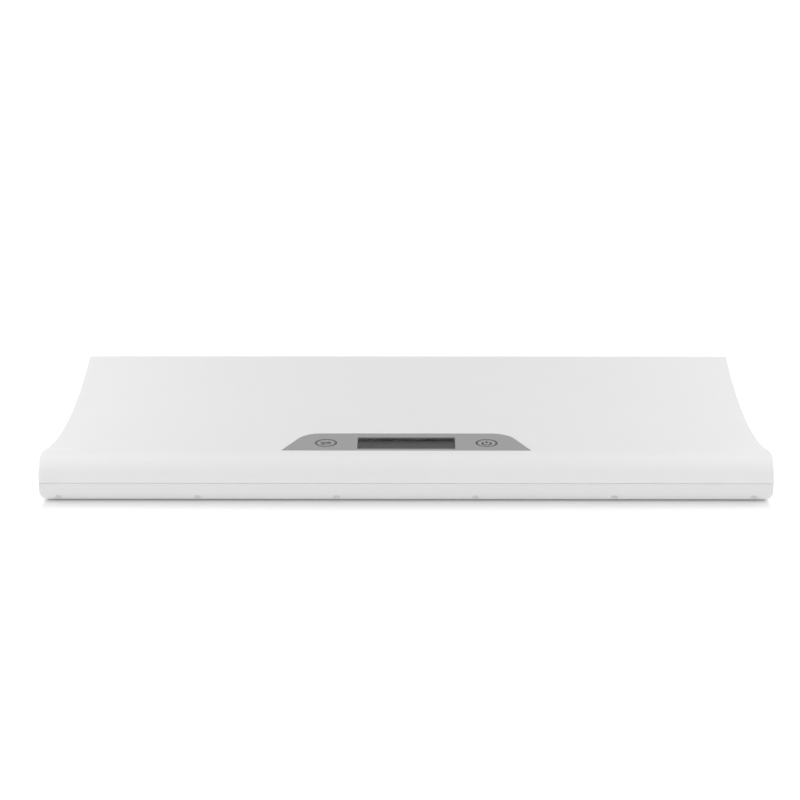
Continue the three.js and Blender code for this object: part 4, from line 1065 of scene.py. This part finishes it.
class BuildBase(bpy.types.Operator):
    """Build the base with its marks, screw recesses, foot wells and battery pocket"""

    bl_idname = "baby_scale.base"
    bl_label = "Base shell"

    def execute(self, context):
        h, under = context.scene.scale_housing, context.scene.scale_underside
        section = Section(h)
        low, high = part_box("battery_cover")
        screws = [middle_of(node) for node in CASE_SCREWS]
        feet = [middle_of(node) for node in FOOT_PADS]
        seat = h.lift + under.recess_depth
        plate_low_y, plate_high_y = low.y + under.latch_reach, high.y - under.tab_reach
        well_wall, bay_edge, bay_roof, pocket_corner = 2 * MM, 3.9 * MM, 14.9 * MM, 1.4 * MM
        bay_wall, bay_top, slot_reach, loose = 4 * MM, 16.5 * MM, 4 * MM, 0.3 * MM
        towers = [cylinder(x, y, h.lift, seat + h.wall, under.tower) for x, y in screws]
        towers += [cylinder(x, y, h.lift, under.well_top, under.well + well_wall) for x, y in feet]
        bay_outside = block(
            (low.x - bay_wall, low.y - bay_wall, 0), (high.x + bay_wall, high.y + bay_wall, bay_top)
        )
        inside = plain_bar(section.lower(h.wall, h.seam + h.wall), h.width / 2 - h.wall)
        hollow = body_of(carved("base_hollow", inside, [together(towers), bay_outside]))
        rounds = [cylinder(x, y, 0, seat, under.recess) for x, y in screws]
        rounds += [cylinder(x, y, 0, under.well_roof, under.well, TURN_POINTS) for x, y in feet]
        holes = [cylinder(x, y, 0, under.well_top + OVERRUN, under.well_hole) for x, y in feet]
        marks = []
        for x in (x for x, y in screws if y < 0):
            arch = arc(x, h.lift + h.mark_lip, h.mark_width / 2, 0, math.pi, 2 * WINDOW_CORNER_POINTS)
            rings = [
                np.column_stack((arch[:, 0], np.full(len(arch), at), arch[:, 1]))
                for at in (section.front + h.mark_reach, section.front - OVERRUN)
            ]
            marks.append(loft(np.array(rings)))
        gap = under.cover_gap
        pocket = rounded_rectangle(
            low.x - gap, high.x + gap, plate_low_y - gap, plate_high_y + gap, pocket_corner
        )
        bay = block(
            (low.x + bay_edge, plate_low_y + bay_edge, 0),
            (high.x - bay_edge, plate_high_y - bay_edge, bay_roof),
        )
        half_tab, tab_under = under.tab_width / 2 + loose, h.lift + under.tab_rise - loose
        slots = [
            block(
                (x - half_tab, plate_high_y - slot_reach, tab_under),
                (x + half_tab, high.y + 2 * loose, tab_under + slot_reach),
            )
            for x in (-under.tab_x, under.tab_x)
        ]
        half_latch, latch_front = under.latch_width / 2, low.y - under.latch_room - 2 * loose
        slots.append(block(
            (-half_latch - loose, latch_front, 0),
            (half_latch + loose, plate_low_y + slot_reach, high.z + 2 * under.latch_room),
        ))
        grip = cylinder(0, latch_front, 0, h.lift + h.wall / 2, half_latch + under.latch_room, TURN_POINTS)
        mesh = carved("base_shell", section.base_half(), [
            hollow, together(rounds), together(holes), together(marks),
            prism(pocket, 0, h.lift + under.cover_plate + loose), bay, together(slots), grip,
        ])
        place_piece("base_body", mesh, "base_white", ["base_shell"])
        return {"FINISHED"}


class BuildCover(bpy.types.Operator):
    """Build the battery cover: a plate with a rounded edge and grip grooves, two tabs and a bent latch"""

    bl_idname = "baby_scale.cover"
    bl_label = "Battery cover"

    def execute(self, context):
        under = context.scene.scale_underside
        low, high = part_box("battery_cover")
        low_y, high_y = low.y + under.latch_reach, high.y - under.tab_reach
        sunk, tab_root, latch_rise, groove_count, groove_round = 0.2 * MM, 3.9 * MM, 0.3 * MM, 5, 0.49
        outlines, heights = [], []
        for turn in np.linspace(0, QUARTER, CORNER_POINTS):
            inset = under.cover_edge * (1 - math.sin(turn))
            outlines.append(rounded_rectangle(
                low.x + inset, high.x - inset, low_y + inset, high_y - inset, under.cover_corner - inset
            ))
            heights.append(low.z + under.cover_edge * (1 - math.cos(turn)))
        plate = stack([*outlines, outlines[-1]], [*heights, low.z + under.cover_plate])
        across = Matrix(((0, 0, 1, 0), (1, 0, 0, 0), (0, 1, 0, 0), (0, 0, 0, 1)))
        root, tab_under = low.z + under.cover_plate - sunk, low.z + under.tab_rise
        tab_start, tab_top = high_y - tab_root, tab_under + under.tab_plate
        tab = prism(np.array([
            (tab_start, root), (high_y, root), (high_y, tab_under), (high.y, tab_under), (high.y, tab_top),
            (tab_start, tab_top),
        ]), 0, under.tab_width)
        added = [moved(turned(tab, across), x - under.tab_width / 2, 0) for x in (-under.tab_x, under.tab_x)]
        bend_y, bend_z = low.y + under.latch_bend, high.z - under.latch_bend
        middle = under.latch_bend - under.latch_wall / 2
        path = np.vstack((
            [(bend_y + middle, root)],
            arc(bend_y, bend_z, middle, 0, 2 * QUARTER, 2 * CORNER_POINTS),
            [(bend_y - middle, low.z + latch_rise)],
        ))
        latch = turned(ribbon(path, under.latch_wall, under.latch_width), across)
        added.append(moved(latch, -under.latch_width / 2, 0))
        long, wide = under.groove_long / 2, under.groove_wide / 2
        grooves = []
        for index in range(groove_count):
            y = low_y + under.groove_start + index * under.groove_pitch
            groove = rounded_rectangle(-long, long, y - wide, y + wide, under.groove_wide * groove_round)
            grooves.append(prism(groove, 0, low.z + under.groove_deep))
        mesh = carved("battery_cover_plate", plate, [together(grooves)], added=[together(added)])
        place_piece("battery_cover_plate", mesh, "base_white", ["battery_cover"], body="battery_cover")
        return {"FINISHED"}


class BuildConsole(bpy.types.Operator):
    """Build the grey plate of the console, its clear window and the dark liner under that, partly painted
    shade
    """

    bl_idname = "baby_scale.console"
    bl_label = "Console plate and window"

    def execute(self, context):
        console = context.scene.scale_console
        carry = console_matrix(Section(context.scene.scale_housing), console)
        plate_edge, window_edge = 0.22 * MM, 0.15 * MM
        hole = console.button + console.button_gap
        rings = [panel_outline(console, 0, console.gap), window_outline(console, 0)]
        rings += [circle(u, console_middle(console), hole) for u in button_places(carry).values()]
        curve = bpy.data.curves.new("console_plate", "CURVE")
        curve.dimensions = "2D"
        curve.fill_mode = "BOTH"
        curve.extrude = console.thickness / 2 - plate_edge
        curve.bevel_depth = plate_edge
        curve.bevel_resolution = 3
        curve.offset = -plate_edge
        for ring in rings:
            spline = curve.splines.new("POLY")
            spline.points.add(len(ring) - 1)
            points = np.column_stack((ring, np.zeros(len(ring)), np.ones(len(ring))))
            spline.points.foreach_set("co", points.ravel())
            spline.use_cyclic_u = True
        flat = bpy.data.objects.new("console_plate_curve", curve)
        context.collection.objects.link(flat)
        context.view_layer.update()
        mesh = bpy.data.meshes.new_from_object(flat.evaluated_get(context.evaluated_depsgraph_get()))
        bpy.data.objects.remove(flat)
        bpy.data.curves.remove(curve)
        mesh.transform(carry @ Matrix.Translation((0, 0, -console.thickness / 2)))
        mesh.name = "console_plate"
        place_piece("console_plate", mesh, "panel_grey", ["display_bezel"])
        top = recess_floor(console)
        low, liner_top = top - console.window_plate, top - console.window_plate - console.gap
        levels = [(window_edge, low), (0, low + window_edge), (0, top - window_edge), (window_edge, top)]
        outlines = [window_outline(console, console.window_margin - inset) for inset, _ in levels]
        plate = stack(outlines, [height for _, height in levels])
        mesh = mesh_of("window_plate", turned(plate, carry))
        place_piece("window_plate", mesh, "window_clear", ["display_window"])
        # The liner is a black border round the opening that also stands in as painted shade, so that the back
        # of the window reads dark.
        liner_low = top - console.skin
        border = [window_outline(console, -inset) for inset in (0, console.window_border)]
        shade_liner = moved(flat_ring(*border, liner_top - liner_low), 0, 0, liner_low)
        place_piece("window_shade_liner", mesh_of("window_shade_liner", turned(shade_liner, carry)), "switch_black")
        return {"FINISHED"}


class BuildButtons(bpy.types.Operator):
    """Build the two round buttons with their symbols"""

    bl_idname = "baby_scale.buttons"
    bl_label = "Buttons"

    def execute(self, context):
        console = context.scene.scale_console
        carry = console_matrix(Section(context.scene.scale_housing), console)
        recess_low, s, radius = recess_floor(console), console_middle(console), console.button
        rim, dish, bevel, stem, stem_bevel = 0.5 * MM, 0.25 * MM, 0.1 * MM, 2.7 * MM, 0.3 * MM
        flange_wide, flange_thick, stem_long = 1.6 * MM, 0.8 * MM, 4.4 * MM
        flange, flange_under = radius + flange_wide, recess_low - flange_thick
        stem_under = flange_under - stem_long
        line_gap, line_ink, mark_ink = 0.25 * MM, 0.03 * MM, 0.07 * MM
        turns, shares = np.linspace(0, QUARTER, RIM_POINTS), np.linspace(1, 0, DISH_POINTS)[1:]
        profile = [
            (0, stem_under), (stem - stem_bevel, stem_under), (stem, stem_under + stem_bevel),
            (stem, flange_under), (flange - bevel, flange_under), (flange, flange_under + bevel),
            (flange, recess_low - bevel), (flange - bevel, recess_low), (radius, recess_low),
            *((radius - rim + rim * math.cos(turn), -rim + rim * math.sin(turn)) for turn in turns),
            *(((radius - rim) * share_of, -dish * (1 - share_of**8)) for share_of in shares),
        ]
        places = button_places(carry)
        for name, u in places.items():
            cap = turned(moved(lathe(profile), u, s), carry)
            place_piece(name + "_cap", mesh_of(name + "_cap", cap), "button_grey", [name], body=name)
        line_start = radius + console.button_gap + line_gap
        line = [circle(0, 0, line_start + width) for width in (console.button_line, 0)]
        rings = together([moved(flat_ring(*line, line_ink), u, s) for u in places.values()])
        mesh = mesh_of("button_lines", turned(rings, carry))
        place_piece("button_lines", mesh, "lcd_dark", finish="print_grey")
        for name, shapes in (("unit_button", arrow_pair(mark_ink)), ("power_button", power_sign(mark_ink))):
            mark = together([moved(shape, places[name], s, -dish) for shape in shapes])
            mesh = mesh_of(name + "_mark", turned(mark, carry))
            place_piece(name + "_mark", mesh, "lcd_dark", body=name, finish="print_grey")
        return {"FINISHED"}


class BuildFeet(bpy.types.Operator):
    """Build the four cups and the four rubber pads under the corners"""

    bl_idname = "baby_scale.feet"
    bl_label = "Feet"

    def execute(self, context):
        pad_round, groove_deep, loose, bevel = 0.35 * MM, 0.35 * MM, 0.3 * MM, 0.4 * MM
        cup_top, post, neck, neck_height = 4.4 * MM, 5 * MM, 2 * MM, 2.6 * MM
        groove_middles, rim, bed = (0.3, 0.55, 0.8), 0.03, 0.015
        groove = ((-rim, 0.0), (-bed, groove_deep), (bed, groove_deep), (rim, 0.0))
        for node in FOOT_PADS:
            low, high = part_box(node)
            x, y = middle_of(node)
            radius, height = (high.x - low.x) / 2, high.z - low.z
            profile = [
                (0, 0.0),
                *((radius * (middle + aside), deep) for middle in groove_middles for aside, deep in groove),
                *(
                    (radius - pad_round + pad_round * math.cos(turn), pad_round + pad_round * math.sin(turn))
                    for turn in np.linspace(-QUARTER, 0, EDGE_POINTS)
                ),
                (radius, height), (0, height),
            ]
            mesh = mesh_of(node + "_rubber", moved(lathe(profile), x, y))
            place_piece(node + "_rubber", mesh, "rubber_grey", [node])
            cup = node.replace("foot_pad", "foot_cup")
            low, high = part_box(cup)
            outer, room, shelf = (high.x - low.x) / 2, radius + loose, height + loose
            profile = [
                (0, shelf), (room, shelf), (room, low.z + bevel / 2), (room + bevel / 2, low.z),
                (outer - bevel, low.z), (outer, low.z + bevel),
                (outer, cup_top - bevel), (outer - bevel, cup_top),
                (post, cup_top), (post, high.z - neck_height),
                (neck, high.z - neck_height), (neck, high.z), (0, high.z),
            ]
            mesh = mesh_of(cup + "_body", moved(lathe(profile), x, y))
            place_piece(cup + "_body", mesh, "frame_white", [cup])
        return {"FINISHED"}


class BuildScrews(bpy.types.Operator):
    """Build the twelve case screws with a cross recess in each head"""

    bl_idname = "baby_scale.screws"
    bl_label = "Case screws"

    def execute(self, context):
        low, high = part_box(CASE_SCREWS[0])
        head, tall = (high.x - low.x) / 2, high.z - low.z
        shank, head_height, domed, spin = 1.45 * MM, 1.9 * MM, 0.55, math.radians(37)
        arm, reach, sunk, narrowed = 0.38 * MM, 1.35 * MM, 1.0 * MM, 0.6
        dome = [
            (head * (domed + (1 - domed) * math.sin(turn)), head_height * domed * (1 - math.cos(turn)))
            for turn in np.linspace(0, QUARTER, DOME_POINTS)
        ]
        profile = [
            (0, 0.0), *dome, (head, head_height), (shank, head_height),
            (shank, tall - shank), (shank / 2, tall), (0, tall),
        ]
        cross = np.array([
            [arm, arm], [arm, reach], [-arm, reach], [-arm, arm], [-reach, arm], [-reach, -arm],
            [-arm, -arm], [-arm, -reach], [arm, -reach], [arm, -arm], [reach, -arm], [reach, arm],
        ])
        cutter = stack([cross, cross * narrowed], [-OVERRUN, sunk])
        mesh = carved("case_screw_model", lathe(profile, SMALL_TURN_POINTS), [cutter])
        for index, node in enumerate(CASE_SCREWS, 1):
            x, y = middle_of(node)
            place = Matrix.Translation((x, y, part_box(node)[0].z))
            copy = mesh.copy()
            copy.transform(place @ Matrix.Rotation(spin * index, 4, "Z"))
            place_piece(node + "_turned", copy, "steel", [node])
        bpy.data.meshes.remove(mesh)
        return {"FINISHED"}


class FinishSolids(bpy.types.Operator):
    """Give every solid that still shows its own procedural finish"""

    bl_idname = "baby_scale.solids"
    bl_label = "Solids that stay"

    def execute(self, context):
        by_start = {
            "lcd_glass": "lcd_dark",
            "lcd_frame": "frame_white",
            "lcd_contact_strip": "switch_black",
            "display_board": "board_green",
            "unit_switch": "switch_black",
            "power_switch": "switch_black",
            "board_screw": "steel",
            "load_cell_clamp": "frame_white",
            "load_cell_lead": "lead_grey",
            "load_cell": "steel",
            "battery_lead": "lead_grey",
            "battery_spring": "steel",
            "battery_contact": "steel",
            "battery": "battery_sleeve",
        }
        for node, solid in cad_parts.items():
            slot = next((slot for start, slot in by_start.items() if node.startswith(start)), None)
            for holder in solid.material_slots if slot else ():
                holder.material = finish_named(slot)
        return {"FINISHED"}


class BuildStage(bpy.types.Operator):
    """Set the floor, the lamps, the sky and the camera"""

    bl_idname = "baby_scale.stage"
    bl_label = "Stage"

    def execute(self, context):
        scene = context.scene
        stage = scene.scale_stage
        reach, cells = 14.0, 8
        line = np.linspace(-reach, reach, cells + 1)
        x, y = np.meshgrid(line, line)
        vertices = np.column_stack((x.ravel(), y.ravel(), np.zeros(x.size)))
        row, column = np.meshgrid(np.arange(cells), np.arange(cells), indexing="ij")
        start = row * (cells + 1) + column
        faces = np.stack((start, start + 1, start + cells + 2, start + cells + 1), axis=-1)
        mesh = mesh_of("studio_floor", (vertices, faces.reshape(-1, 4).tolist()))
        mesh.materials.append(studio_floor(stage, scene.scale_housing))
        floor = bpy.data.objects.new("studio_floor", mesh)
        context.collection.objects.link(floor)
        scene.world = studio_sky(stage.sky)
        aside, before, above, side_size = 0.65, -0.05, 0.5, (0.6, 0.4)
        front_place, front_size = (0.0, -2.5, 1.6), (2.4, 0.8)
        add_lamp(context, "left_lamp", (-aside, before, above), side_size, stage.left)
        add_lamp(context, "right_lamp", (aside, before, above), side_size, stage.right)
        add_lamp(context, "front_lamp", front_place, front_size, stage.front)
        data = bpy.data.cameras.new("view_camera")
        data.lens = stage.lens
        data.shift_x = stage.shift
        data.sensor_fit = "HORIZONTAL"
        data.sensor_width = 36.0
        data.clip_end = 60.0
        camera = bpy.data.objects.new("view_camera", data)
        context.collection.objects.link(camera)
        camera.location = (stage.camera_x, stage.camera_y, stage.camera_z)
        camera.rotation_euler = (QUARTER - stage.pitch, 0, stage.yaw)
        scene.camera = camera
        scene.view_settings.view_transform = "Standard"
        return {"FINISHED"}


class ScalePanel(bpy.types.Panel):
    """Lists the steps that build the scale"""

    bl_idname = "VIEW3D_PT_baby_scale"
    bl_label = "Baby weighing scale"
    bl_space_type = "VIEW_3D"
    bl_region_type = "UI"
    bl_category = "Scale"

    def draw(self, context):
        for step in STEPS:
            self.layout.operator(step.bl_idname)


STEPS = (
    BuildTray, BuildBase, BuildCover, BuildConsole, BuildButtons, BuildFeet, BuildScrews,
    FinishSolids, BuildStage,
)
GROUPS = {
    "scale_housing": HousingSizes,
    "scale_console": ConsoleSizes,
    "scale_underside": UndersideSizes,
    "scale_finishes": Finishes,
    "scale_stage": StageSizes,
}


def register():
    """Register the classes and hang the groups of sizes on the scene."""
    for group in GROUPS.values():
        bpy.utils.register_class(group)
    for name, group in GROUPS.items():
        setattr(bpy.types.Scene, name, bpy.props.PointerProperty(type=group))
    for step in (*STEPS, ScalePanel):
        bpy.utils.register_class(step)


def unregister():
    """Take it all off again, in the opposite order."""
    for step in reversed((*STEPS, ScalePanel)):
        bpy.utils.unregister_class(step)
    for name in GROUPS:
        delattr(bpy.types.Scene, name)
    for group in reversed(list(GROUPS.values())):
        bpy.utils.unregister_class(group)


def main():
    """Build everything in order."""
    register()
    for step in STEPS:
        family, action = step.bl_idname.split(".")
        getattr(getattr(bpy.ops, family), action)()
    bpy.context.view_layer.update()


if __name__ == "__main__":
    main()
